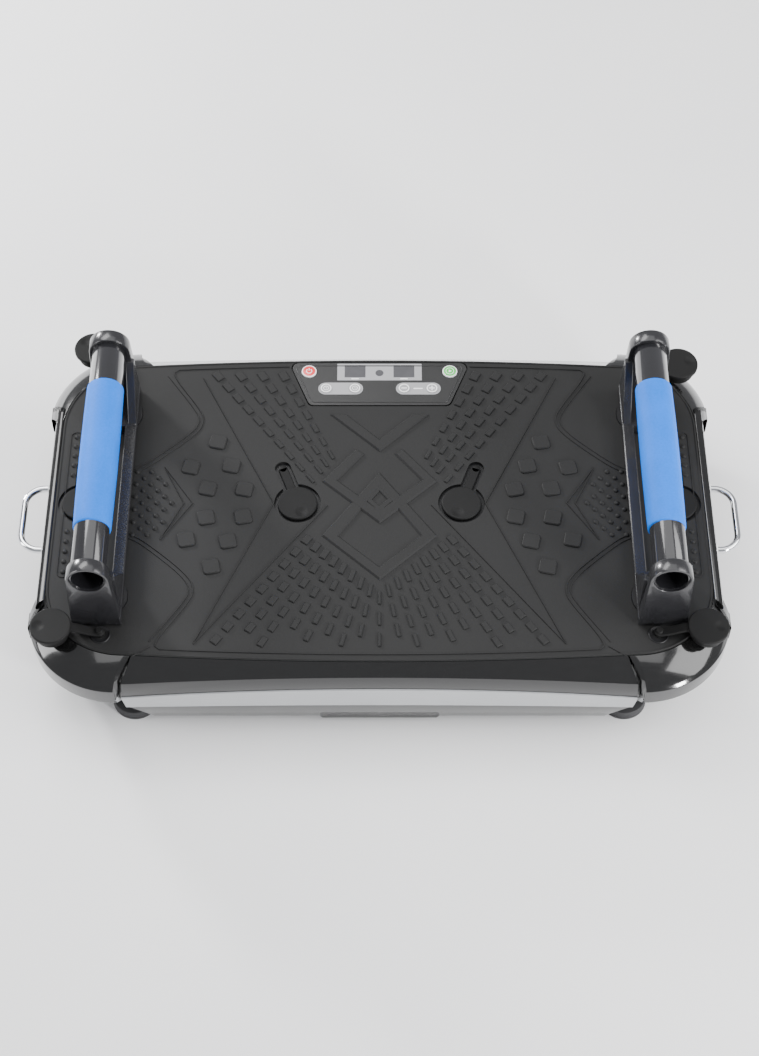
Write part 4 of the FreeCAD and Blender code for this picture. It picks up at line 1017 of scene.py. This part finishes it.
class PLATE_OT_rails(bpy.types.Operator):
    """Side rails, each hollowed behind its band loop"""
    bl_idname = "plate.rails"
    bl_label = "Side rails"

    def execute(self, context):
        sizes = context.scene.plate_sizes
        stations = np.concatenate([[-1.0, -0.992], np.linspace(-0.7, -0.29, 4),
                                   np.linspace(-0.265, 0.265, 25), np.linspace(0.29, 0.7, 4), [0.992, 1.0]])
        loops = []
        for share in stations:
            loop = np.array(rail_loop(share * SIDE_SEAM_Y, sizes.seam))
            reach = SIDE_SEAM_Y + SIDE_LEAN * (loop[:, 0] - HALF_X) - sizes.seam
            loops.append(np.column_stack([loop[:, 0], share * reach, loop[:, 1]]))
        rail = loft(Shell(), loops)
        for name, sx in SIDES:
            rail.mirrored(sx, 1).piece("rail_" + name, "deck", FINISHES["shell_gloss"], "shell_gloss",
                                       replaced=["side_rail_" + name])
        return {"FINISHED"}


# ---------------------------------------------------------------- push-up bars
BAR_X = (GRIP_LOW.x + GRIP_HIGH.x) / 2
TUBE_Z = (GRIP_LOW.z + GRIP_HIGH.z) / 2
TUBE_R = (TUBE_HIGH.x - TUBE_LOW.x) / 2
RING_R = FRAME_HIGH.z - TUBE_Z
UPRIGHT_OUT = FRAME_HIGH.y
UPRIGHT_IN = UPRIGHT_OUT - 0.016
BAR_FOOT_HALF = FRAME_HIGH.x - BAR_X
BAR_UNDER = DECK_Z + 0.0018
PEG = (0.305, 0.126, 0.0222)          # peg's centre and radius
PEG_LENGTH = 0.0298
PEG_WALL = 0.004


def upright_reach(angle):
    """Distance from the tube's axis to the upright's outline: a ring above, spreading legs below."""
    c, s = np.cos(angle), np.sin(angle)
    drop = TUBE_Z - BAR_UNDER
    slope = (BAR_FOOT_HALF - RING_R) / drop
    down = np.where(s < -1e-6, drop / np.maximum(-s, 1e-6), np.inf)
    spread = np.abs(c) + slope * s
    side = np.where(spread > 1e-6, RING_R / np.maximum(spread, 1e-6), np.inf)
    leg = np.minimum(down, side)
    return np.where(s < 0, leg, RING_R)


def upright_angles():
    """Angles round the tube: even round the ring, with the two bottom corners met exactly."""
    drop = TUBE_Z - BAR_UNDER
    corner = np.arctan2(-drop, BAR_FOOT_HALF)
    ring = np.linspace(0, pi, 33)
    left = np.linspace(pi, pi * 2 - (pi + corner), 9)[1:]
    under = np.linspace(-pi - corner, corner, 14)[1:-1]
    right = np.linspace(corner, 0, 9)[:-1]
    return np.concatenate([ring, left, under, right])


def upright(shell):
    """Back upright of the right bar: a ring round the tube's end with a recessed lip, on a spreading leg."""
    angle = upright_angles()
    reach = upright_reach(angle)
    face = UPRIGHT_OUT
    rows = []
    for radius, y in ((TUBE_R, face - 0.0028), (TUBE_R, face - 0.0008), (TUBE_R + 0.0006, face - 0.0003),
                      (reach - 0.0016, face), (reach - 0.0005, face - 0.0005), (reach, face - 0.0018),
                      (reach, UPRIGHT_IN + 0.0014), (reach - 0.0006, UPRIGHT_IN + 0.0003),
                      (reach - 0.0016, UPRIGHT_IN), (TUBE_R, UPRIGHT_IN)):
        radius = np.broadcast_to(radius, angle.shape)
        rows.append(np.column_stack([BAR_X + radius * np.cos(angle), np.full(len(angle), y),
                                     TUBE_Z + radius * np.sin(angle)]))
    return shell.grid(np.array(rows), close_rows=True, close_columns=True)


def bar_casting():
    """Right bar's frame: two uprights, feet, gussets, inner rail and hollow pegs."""
    half = Shell()
    upright(half)
    low_x, high_x = BAR_X - BAR_FOOT_HALF, BAR_X + BAR_FOOT_HALF
    top = BAR_UNDER + 0.012
    plate(half, rectangle(low_x, high_x, 0.100, UPRIGHT_OUT - 0.0004, 0.003), BAR_UNDER, top, 0.0012)
    gusset = [(0.1015, top - 0.002), (UPRIGHT_IN + 0.004, top - 0.002), (UPRIGHT_IN + 0.004, TUBE_Z - 0.0142),
              (UPRIGHT_IN - 0.001, TUBE_Z - 0.0155)]
    plate(half, gusset, low_x + 0.0004, low_x + 0.0100, 0.0009, axis="x")
    x, y, radius = PEG
    root = BAR_UNDER + 0.001
    tip = BAR_UNDER - PEG_LENGTH
    profile = [(radius, root), (radius, tip + 0.0023), (radius - 0.001, tip), (radius - PEG_WALL, tip),
               (radius - PEG_WALL, root)]
    closed_turned(half, profile, (x, y, 0), "z", 48)
    whole = Shell().add(half).add(half.mirrored(1, -1))
    rail = rectangle(low_x + 0.0002, low_x + 0.0132, -0.104, 0.104, 0.0012)
    return plate(whole, rail, BAR_UNDER + 0.0002, top - 0.0002, 0.0012)


def bar_tube():
    """Tube with a wall and rounded lips at its two open ends."""
    end = TUBE_HIGH.y
    wall = 0.0015
    profile = [(TUBE_R - 0.0002, -end), (TUBE_R, -end + 0.0004), (TUBE_R, end - 0.0004),
               (TUBE_R - 0.0002, end), (TUBE_R - wall, end), (TUBE_R - wall, -end)]
    return closed_turned(Shell(), profile, (BAR_X, 0, TUBE_Z), "y", 56)


def bar_grip(barrel):
    """Foam sleeve: radius falls from the middle to the ends as a square law, and the rims are rounded."""
    half = GRIP_HIGH.y
    radius = GRIP_HIGH.x - BAR_X
    y = np.linspace(-half + 0.0022, half - 0.0022, 25)
    body = np.column_stack([radius - barrel * (y / half) ** 2, y])
    rim = radius - barrel
    turn = np.radians(np.linspace(15, 90, 5))
    right = np.column_stack([rim - 0.0022 + 0.0022 * np.cos(turn), half - 0.0022 + 0.0022 * np.sin(turn)])
    left = right[::-1] * (1, -1)
    inner = [(TUBE_R + 0.0001, half), (TUBE_R + 0.0001, -half)]
    return closed_turned(Shell(), np.vstack([left, body, right, inner]), (BAR_X, 0, TUBE_Z), "y", 56)


class PLATE_OT_bars(bpy.types.Operator):
    """Two push-up bars: casting, tube and foam grip"""
    bl_idname = "plate.bars"
    bl_label = "Push-up bars"

    def execute(self, context):
        casting = bar_casting()
        tube = bar_tube()
        sleeve = bar_grip(context.scene.plate_sizes.barrel)
        for name, sx in SIDES:
            body = "bar_" + name
            casting.mirrored(sx, 1).piece("casting_" + name, body, FINISHES["bar_plastic"], "bar_plastic",
                                          replaced=["bar_frame_" + name])
            tube.mirrored(sx, 1).piece("tube_" + name, body, FINISHES["tube_black"], "tube_black",
                                       replaced=["bar_tube_" + name])
            grip = sleeve.mirrored(sx, 1).piece("grip_" + name, body, FINISHES["grip_foam"], "grip_foam",
                                                replaced=["bar_grip_" + name])
        return {"FINISHED"}


# ---------------------------------------------------------------- rubber plugs
PLUG_R = 0.0225
PLUG_T = 0.005
REACH = 0.052
TONGUE_HALF = 0.00525
TONGUE_T = 0.003
SKIRT_R = 0.0185
SKIRT_H = 0.012
SEAT_Z = DECK_Z - 0.0036
PARK_Z = DECK_Z + 0.0145
ANCHOR = (0.303, 0.174)
ANCHOR_RING = [(0.0112, 0.0), (0.0110, 0.0006), (0.0102, 0.0010), (0.0094, 0.0006), (0.0090, 0.0003),
               (0.0060, 0.0003), (0.0060, 0.0)]
PARKED = {"front_left": 0.0, "front_right": 0.0, "back_left": 46.0, "back_right": 16.0}     # degrees outwards
PARK_DROP = 0.0105                    # fall of a parked plug's tongue from its disc to its anchor
PARK_PEG = [(0.00395, 0.0), (0.00395, PARK_Z - DECK_Z + 0.0045), (0.0033, PARK_Z - DECK_Z + 0.0052)]
PEG_DEPTH = 0.009                     # how far a parked plug's peg reaches below the deck
SEATED = (("inner_plug_", 0.093, 70.0), ("side_plug_", 0.338, 90.0))     # node, x, heading on the right


def plug_disc(edge, dent):
    """Disc with its tongue along +X and its underside at z = 0: round edge, domed face, thumb dent, skirt."""
    shell = Shell()
    turn = np.radians(np.linspace(80, 0, 6))
    radius = np.concatenate([np.linspace(0.0008, PLUG_R - edge, 22),
                             PLUG_R - edge + edge * np.cos(turn)])
    height = np.concatenate([np.full(22, PLUG_T), PLUG_T - edge + edge * np.sin(turn)])
    angle = np.linspace(0, 2 * pi, 64, endpoint=False)
    x = radius[:, None] * np.cos(angle)
    y = radius[:, None] * np.sin(angle)
    away = np.hypot(x + 0.6 * PLUG_R, y) / 0.0072
    pressed = dent * np.clip(1 - away ** 2, 0, 1) ** 1.5
    z = height[:, None] - pressed * (radius[:, None] < PLUG_R - edge)
    top = np.stack([x, y, z], -1)
    under = []
    for r, level in ((PLUG_R, 0.0008), (PLUG_R - 0.0006, 0.0), (SKIRT_R, 0.0), (SKIRT_R, -SKIRT_H + 0.001),
                     (SKIRT_R - 0.001, -SKIRT_H), (SKIRT_R - 0.004, -SKIRT_H), (SKIRT_R - 0.004, -0.0002),
                     (0.0008, -0.0002)):
        under.append(np.stack([r * np.cos(angle), r * np.sin(angle), np.full(64, level)], -1))
    return shell.grid(np.concatenate([top, np.array(under)]), close_columns=True, cap_rows=True)


def tongue(shell, drop=0.0):
    """Strap from the disc to its far end, falling by drop along an S curve, with a round end."""
    start = PLUG_R - 0.004
    share = np.linspace(0, 1, 17)
    x = start + (REACH - start) * share
    level = TONGUE_T - drop * (3 * share ** 2 - 2 * share ** 3)
    half = np.full(17, TONGUE_HALF)
    rows = []
    for across, high in ((1, 0.0), (1, 0.72), (0.86, 1.0), (-0.86, 1.0), (-1, 0.72), (-1, 0.0)):
        rows.append(np.column_stack([x, half * across, level - TONGUE_T * (1 - high)]))
    loft(shell, np.array(rows).transpose(1, 0, 2))
    end = level[-1]
    profile = [(TONGUE_HALF, end - TONGUE_T), (TONGUE_HALF, end - 0.0008), (TONGUE_HALF - 0.0009, end)]
    return turned(shell, profile, (REACH, 0, 0), 40)


def placed(x, y, z, heading):
    """Function that turns points about Z by a heading in degrees and then moves them."""
    c, s = cos(radians(heading)), sin(radians(heading))
    turn = np.array([[c, s, 0], [-s, c, 0], [0, 0, 1]])
    return lambda points: points @ turn + (x, y, z)


class PLATE_OT_plugs(bpy.types.Operator):
    """Eight socket plugs: four seated in the deck, four parked over the corners"""
    bl_idname = "plate.plugs"
    bl_label = "Socket plugs"

    def execute(self, context):
        sizes = context.scene.plate_sizes
        rubber = FINISHES["plug_rubber"]
        seated = tongue(plug_disc(sizes.plug_round, sizes.dent))
        parked = tongue(plug_disc(sizes.plug_round, sizes.dent), PARK_DROP)
        turned(parked, PARK_PEG, (REACH, 0, DECK_Z - PEG_DEPTH - PARK_Z), 24)
        for name, sx in SIDES:
            for kind, x, right_heading in SEATED:
                heading = right_heading if sx > 0 else 180 - right_heading
                node = kind + name
                shell = seated.moved(placed(sx * x, 0, SEAT_Z, heading))
                shell.piece(node + "_rubber", node + "_body", rubber, "plug_rubber", replaced=[node],
                            angle=45.0)
        rings = Shell()
        for name, sx, sy in CORNERS:
            closed_turned(rings, ANCHOR_RING, (sx * ANCHOR[0], sy * ANCHOR[1], DECK_Z), "z", 40)
            swing = radians(PARKED[name])
            x = sx * (ANCHOR[0] + REACH * cos(swing))
            y = sy * (ANCHOR[1] + REACH * sin(swing))
            heading = np.degrees(np.arctan2(sy * ANCHOR[1] - y, sx * ANCHOR[0] - x))
            node = "corner_plug_" + name
            shell = parked.moved(placed(x, y, PARK_Z, heading))
            shell.piece(node + "_rubber", node + "_body", rubber, "plug_rubber", replaced=[node], angle=45.0)
        rings.piece("anchor_rings", "deck", FINISHES["housing_black"], "housing_black", angle=45.0)
        return {"FINISHED"}


# ---------------------------------------------------------------- band loops, collars and feet
LOOP_Z = (LOOP_LOW.z + LOOP_HIGH.z) / 2
LOOP_R = (LOOP_HIGH.z - LOOP_LOW.z) / 2
LOOP_OUT = LOOP_HIGH.x - LOOP_R
LEG_Y = LOOP_HIGH.y - LOOP_R
LOOP_BEND = 0.022
FOOT_PLACE = (0.275, 0.186)
FOOT_PROFILE = [(0.0236, 0.0), (0.0255, 0.0003), (0.026, 0.0011), (0.0259, 0.0040), (0.0253, 0.0044),
                (0.0253, 0.0058), (0.0256, 0.0062), (0.0252, 0.0118), (0.0246, 0.0129), (0.0236, 0.0132),
                (0.0108, 0.0132), (0.0100, 0.0140), (0.0100, 0.0205), (0.0094, 0.0219), (0.0046, 0.0219),
                (0.0042, 0.0121), (0.0052, 0.0062), (0.0150, 0.0030)]


def loop_path():
    """Centre line of the right band loop: two legs and an outer run, joined by quarter circles."""
    bend_x, bend_y = LOOP_OUT - LOOP_BEND, LEG_Y - LOOP_BEND
    inside = LOOP_LOW.x + 0.0005
    legs = np.linspace(inside, bend_x, 6)[:-1]
    near = np.column_stack([legs, np.full(len(legs), -LEG_Y)])
    first = arc((bend_x, -bend_y), LOOP_BEND, -90, 0, 13)
    last = arc((bend_x, bend_y), LOOP_BEND, 0, 90, 13)
    middle = np.column_stack([np.full(5, LOOP_OUT), np.linspace(-bend_y, bend_y, 7)[1:-1]])
    far = near[::-1] * (1, -1)
    plan = np.vstack([near, first, middle, last, far])
    return at_height(plan, LOOP_Z)


class PLATE_OT_fittings(bpy.types.Operator):
    """Band loops, their collars and the suction feet"""
    bl_idname = "plate.fittings"
    bl_label = "Loops, collars and feet"

    def execute(self, context):
        loop = tube_along(Shell(), loop_path(), LOOP_R - 0.00002, 24)
        collars = Shell()
        out = RAIL_OUT
        radius = (COLLAR_HIGH.z - COLLAR_LOW.z) / 2
        profile = [(radius, out), (radius, out + 0.0036), (radius - 0.0004, out + 0.0046),
                   (radius - 0.0012, out + 0.005), (LOOP_R + 0.0006, out + 0.005),
                   (LOOP_R + 0.0001, out + 0.0046), (LOOP_R + 0.0001, out)]
        for leg in (-LEG_Y, LEG_Y):
            closed_turned(collars, profile, (0, leg, LOOP_Z), "x", 40)
        both = Shell().add(collars).add(collars.mirrored(-1, 1))
        for name, sx in SIDES:
            loop.mirrored(sx, 1).piece("loop_" + name, "deck", FINISHES["loop_chrome"], "loop_chrome",
                                       replaced=["band_loop_" + name], angle=60.0)
        both.piece("collars", "deck", FINISHES["collar_white"], "collar_white", replaced=["loop_collars"])
        feet = Shell()
        for _, sx, sy in CORNERS:
            closed_turned(feet, FOOT_PROFILE, (sx * FOOT_PLACE[0], sy * FOOT_PLACE[1], 0), "z", 56)
        feet.piece("feet", "base", FINISHES["foot_rubber"], "foot_rubber", replaced=["suction_feet"],
                   angle=40.0)
        return {"FINISHED"}


# ---------------------------------------------------------------- control panel and buttons
PANEL_Z = PANEL_HIGH.z
PANEL_CORNERS = [(107, 203), (-107, 203), (-82, 140), (82, 140)]
PANEL_PAD = (0.0195, 0.0722, 0.1557, 0.1733, 0.0086, 9)     # x and y limits, corner radius and points
DIGITS = (0.029, 0.1907, 0.0124, 0.0093)                    # a window's centre and half sizes
RECEIVER = ((0.0, 0.188), 0.0047)                           # infrared window's centre and radius
BIG_CAP_R = 0.0088
SMALL_CAP_R = 0.0069
SHOULDER = 0.0006                     # radius of a button's round edge
SIGN = 0.00018                        # height of a sign on a button
SMALL_BUTTONS = (("mode_button", -0.063), ("time_button", -0.029), ("speed_down_button", 0.029),
                 ("speed_up_button", 0.062))
SMALL_Y = 0.1645
CAP_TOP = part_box("power_button")[1].z
PRINT = 0.00012                       # thickness of printed marks


def circle(centre, radius, count=40):
    """Plan circle as a closed outline."""
    return arc(centre, radius, 0, 360, count + 1)[:-1]


def washer(shell, centre, outer, inner, base, height, count=40):
    """Flat ring of print."""
    rings = circle(centre, outer, count), circle(centre, inner, count)
    return framed(shell, *rings, base, height, height * 0.3)


def dash(shell, centre, half_x, half_y, base, height=PRINT):
    """Printed bar with round ends."""
    x, y = centre
    radius = min(half_x, half_y) * 0.6
    outline = rectangle(x - half_x, x + half_x, y - half_y, y + half_y, radius)
    return raised(shell, outline, base, height, height * 0.3)


def stroke(shell, points, width, base, height):
    """Printed line along plan points."""
    return ridge(shell, points, width, height, base, height * 0.3)


class PLATE_OT_panel(bpy.types.Operator):
    """Printed pads, windows, marks and rim of the control panel"""
    bl_idname = "plate.panel"
    bl_label = "Control panel print"

    def execute(self, context):
        grey = Shell()
        for side in (-1, 1):
            raised(grey, rectangle(*PANEL_PAD) * (side, 1), PANEL_Z, 0.0003, 0.0001)
        grey.piece("panel_pads", "deck", FINISHES["display_grey"], "display_grey")
        rim = Shell()
        border = rounded_polygon(inset(in_metres(PANEL_CORNERS), 0.0042), 0.005)
        ridge(rim, border, 0.0013, 0.0005, PANEL_Z, 0.0003, closed=True)
        rim.piece("panel_rim", "deck", FINISHES["panel_film"], "panel_film", angle=60.0)
        glass = Shell()
        x, y, half_x, half_y = DIGITS
        for side in (-1, 1):
            middle = side * x
            raised(glass, rectangle(middle - half_x, middle + half_x, y - half_y, y + half_y, 0.0006),
                   PANEL_Z - 0.0003, 0.0004, 0.0001)
        raised(glass, circle(*RECEIVER), PANEL_Z - 0.0003, 0.0005, 0.0002)
        glass.piece("panel_windows", "deck", FINISHES["display_glass"], "housing_black")
        marks = Shell()
        for middle in (-0.029, 0.029):
            dash(marks, (middle, 0.1793), 0.0045, 0.0007, PANEL_Z)
        dash(marks, (0.0455, SMALL_Y), 0.0055, 0.0008, PANEL_Z + 0.0003)
        marks.piece("panel_marks", "deck", FINISHES["print_white"], "collar_white")
        return {"FINISHED"}


def button_cap(radius, top):
    """Button cap: short wall, round shoulder and a slightly dished face."""
    base = PANEL_Z - 0.0006
    turn = np.radians(np.linspace(0, 90, 5))
    shoulder = (radius - SHOULDER, top - SHOULDER) + SHOULDER * np.column_stack([np.cos(turn), np.sin(turn)])
    face = [(radius * 0.7, top - 0.00003), (radius * 0.3, top - 0.0001), (0.0002, top - 0.0001)]
    return np.vstack([[(radius, base)], shoulder, face])


def power_sign(shell, x, y, level):
    """Open ring with a bar through its gap."""
    stroke(shell, arc((x, y - 0.0002), 0.0032, -235, 55, 26), 0.0010, level, SIGN)
    stroke(shell, [(x, y + 0.0006), (x, y + 0.0042)], 0.0010, level, SIGN)


def start_sign(shell, x, y, level):
    """Ring round a triangle that points right."""
    washer(shell, (x, y), 0.0050, 0.0042, level, SIGN)
    triangle = [(x - 0.0014, y - 0.0022), (x + 0.0025, y), (x - 0.0014, y + 0.0022)]
    raised(shell, rounded_polygon(triangle, 0.0003), level, SIGN, 0.00005)


def clock_sign(shell, x, y, level):
    """Small clock: a ring with two hands."""
    washer(shell, (x, y), 0.0033, 0.0025, level, 0.00022, 28)
    stroke(shell, [(x, y + 0.0018), (x, y - 0.0002), (x + 0.0013, y - 0.0002)], 0.0006, level, 0.0002)


BIG_BUTTONS = (("power_button", -0.0835, 0.190, "button_red", power_sign),
               ("start_button", 0.0835, 0.190, "button_green", start_sign))


class PLATE_OT_buttons(bpy.types.Operator):
    """Six buttons with their rings and marks, each on its own moving body"""
    bl_idname = "plate.buttons"
    bl_label = "Buttons"

    def execute(self, context):
        white = FINISHES["print_white"]
        top = CAP_TOP - 0.0004
        disc = [(0.0074, top - 0.0002), (0.0073, top + 0.00016), (0.0070, top + 0.00022),
                (0.0002, top + 0.00022)]
        for node, x, y, slot, mark in BIG_BUTTONS:
            body = node + "_body"
            cap = turned(Shell(), button_cap(BIG_CAP_R, top), (x, y, 0), 56)
            cap.piece(node + "_cap", body, white, "collar_white", replaced=[node])
            face = turned(Shell(), disc, (x, y, 0), 56)
            face.piece(node + "_face", body, FINISHES[slot], slot)
            sign = Shell()
            mark(sign, x, y, top + 0.0002)
            sign.piece(node + "_sign", body, white, "collar_white", angle=60.0)
        for node, x in SMALL_BUTTONS:
            body = node + "_body"
            cap = turned(Shell(), button_cap(SMALL_CAP_R, top), (x, SMALL_Y, 0), 48)
            cap.piece(node + "_cap", body, FINISHES["display_grey"], "button_dark", replaced=[node])
            sign = washer(Shell(), (x, SMALL_Y), 0.0063, 0.0050, top - 0.00006, SIGN)
            level = top - 0.0001
            if x < 0:
                clock_sign(sign, x, SMALL_Y, level)
            else:
                dash(sign, (x, SMALL_Y), 0.0034, 0.0007, level, 0.0002)
            if node == "speed_up_button":
                dash(sign, (x, SMALL_Y), 0.0007, 0.0034, level, 0.00021)
            sign.piece(node + "_sign", body, white, "collar_white", angle=60.0)
        return {"FINISHED"}


# ---------------------------------------------------------------- finishes on the frame's own nodes
FRAME_SLOTS = {
    "deck_mat": "mat_rubber", "deck_cover": "housing_black", "deck_plate": "steel_zinc",
    "control_panel": "panel_film", "display_frame": "display_grey", "control_board": "board_green",
    "bar_sockets": "housing_black", "base_pan": "pan_black", "foot_bolts": "steel_zinc",
    "pivot_brackets": "pan_black", "deck_hangers": "steel_zinc", "pivot_shaft": "steel_zinc",
    "rubber_buffers": "foot_rubber", "bearing_blocks": "steel_zinc", "eccentric_shaft": "steel_zinc",
    "driven_pulley": "housing_black", "motor_rotor": "steel_zinc", "drive_motor": "motor_can",
    "motor_bracket": "steel_zinc", "drive_belt": "foot_rubber", "connecting_rod": "steel_zinc",
    "rod_clevis": "steel_zinc", "power_board": "board_green", "service_plate": "housing_black",
    "mains_inlet": "housing_black", "power_rocker": "button_red",
}


class PLATE_OT_finishes(bpy.types.Operator):
    """Gives every frame node that stays in view or inside the finish of its slot"""
    bl_idname = "plate.finishes"
    bl_label = "Frame finishes"

    def execute(self, context):
        for node, slot in FRAME_SLOTS.items():
            mesh = bpy.data.objects[node].data
            mesh.materials.clear()
            mesh.materials.append(FINISHES[slot])
        return {"FINISHED"}


# ---------------------------------------------------------------- floor, lights and camera
def aim(thing, target):
    """Turns a light or camera so that it looks at a point."""
    thing.rotation_euler = (Vector(target) - thing.location).to_track_quat("-Z", "Y").to_euler()


def lamp(name, place, target, size, power):
    """Soft rectangular light aimed at a point."""
    data = bpy.data.lights.new(name, "AREA")
    data.shape = "RECTANGLE"
    data.size, data.size_y = size
    data.energy = power
    light = bpy.data.objects.new(name, data)
    bpy.context.scene.collection.objects.link(light)
    light.location = place
    aim(light, target)


CAMERA_PLACE = (0.0, -1.2987, 1.9830)
CAMERA_AIM = (0.0, -0.034, 0.122)
LENS = 68.2
FLOOR_HALF = 6.0
LIGHTS = (                            # name, place, aim, size and watts
    ("top light", (-0.9, 1.1, 2.1), (0, 0, 0.1), (1.5, 0.9), 36.0),
    ("left light", (-2.3, -0.2, 1.0), (0, 0, 0.1), (0.5, 1.6), 24.0),
    ("right light", (2.0, -0.35, 1.75), (0.2, -0.1, 0.1), (2.0, 1.6), 64.0),
    ("floor light", (0.0, 0.4, 3.4), (0, 0, 0), (3.2, 3.2), 60.0),
    ("rear key", (-1.7, 1.6, 0.85), (0, 0, 0.1), (0.35, 0.35), 56.0),
    ("front key", (1.7, -1.7, 0.85), (0, 0, 0.1), (0.35, 0.35), 56.0),
)


def pale_floor(scene):
    """Plain floor at z = 0 with a faint change of tone."""
    sheet = Sheet("pale floor")
    tone = sheet.ramp(sheet.noise(2.5, 3.0), (0.86, 0.86, 0.87), (0.90, 0.90, 0.90))
    material = sheet.finish(Base_Color=tone, Roughness=0.7 + (sheet.noise(12.0) - 0.5) * 0.1)
    mesh = bpy.data.meshes.new("floor")
    half = FLOOR_HALF
    corners = [(-half, -half, 0), (half, -half, 0), (half, half, 0), (-half, half, 0)]
    mesh.from_pydata(corners, [], [(0, 1, 2, 3)])
    mesh.materials.append(material)
    floor = bpy.data.objects.new("floor", mesh)
    scene.collection.objects.link(floor)


def studio_world(scene):
    """Even, faintly cool light from all round."""
    world = bpy.data.worlds.new("studio")
    world.use_nodes = True
    background = world.node_tree.nodes["Background"]
    background.inputs["Color"].default_value = (0.95, 0.96, 1.0, 1)
    background.inputs["Strength"].default_value = 0.5
    scene.world = world


def front_camera(scene):
    """Camera above the front edge, looking down at the deck."""
    data = bpy.data.cameras.new("camera")
    data.sensor_width = 36.0
    data.lens = LENS
    camera = bpy.data.objects.new("camera", data)
    scene.collection.objects.link(camera)
    camera.location = CAMERA_PLACE
    aim(camera, CAMERA_AIM)
    scene.camera = camera


class PLATE_OT_stage(bpy.types.Operator):
    """Plain pale floor, soft lights and the camera"""
    bl_idname = "plate.stage"
    bl_label = "Floor, lights and camera"

    def execute(self, context):
        pale_floor(context.scene)
        for light in LIGHTS:
            lamp(*light)
        studio_world(context.scene)
        front_camera(context.scene)
        return {"FINISHED"}


# ---------------------------------------------------------------- add-on
class PLATE_PT_panel(bpy.types.Panel):
    """Sizes, colours and build buttons of the vibration plate"""
    bl_idname = "PLATE_PT_panel"
    bl_label = "Vibration plate"
    bl_space_type = "VIEW_3D"
    bl_region_type = "UI"
    bl_category = "Plate"

    def draw(self, context):
        layout = self.layout
        for title, group in (("Sizes", context.scene.plate_sizes), ("Colours", context.scene.plate_colours)):
            layout.label(text=title)
            column = layout.column(align=True)
            for name in group.__annotations__:
                column.prop(group, name)
        column = layout.column(align=True)
        for operator in OPERATORS:
            column.operator(operator.bl_idname)


GROUPS = (PlateSizes, PlateColours)
OPERATORS = (PLATE_OT_mat, PLATE_OT_corners, PLATE_OT_skirts, PLATE_OT_rails, PLATE_OT_bars, PLATE_OT_plugs,
             PLATE_OT_fittings, PLATE_OT_panel, PLATE_OT_buttons, PLATE_OT_finishes, PLATE_OT_stage)
CLASSES = GROUPS + OPERATORS + (PLATE_PT_panel,)


def register():
    """Makes the sizes, the colours, the operators and the panel known to Blender."""
    for item in CLASSES:
        bpy.utils.register_class(item)
    bpy.types.Scene.plate_sizes = PointerProperty(type=PlateSizes)
    bpy.types.Scene.plate_colours = PointerProperty(type=PlateColours)


def unregister():
    """Takes them away again."""
    del bpy.types.Scene.plate_colours
    del bpy.types.Scene.plate_sizes
    for item in reversed(CLASSES):
        bpy.utils.unregister_class(item)


def main():
    """Builds every piece and the stage."""
    register()
    make_finishes(bpy.context.scene.plate_colours)
    bpy.ops.plate.mat()
    bpy.ops.plate.corners()
    bpy.ops.plate.skirts()
    bpy.ops.plate.rails()
    bpy.ops.plate.bars()
    bpy.ops.plate.plugs()
    bpy.ops.plate.fittings()
    bpy.ops.plate.panel()
    bpy.ops.plate.buttons()
    bpy.ops.plate.finishes()
    bpy.ops.plate.stage()


if __name__ == "__main__":
    main()
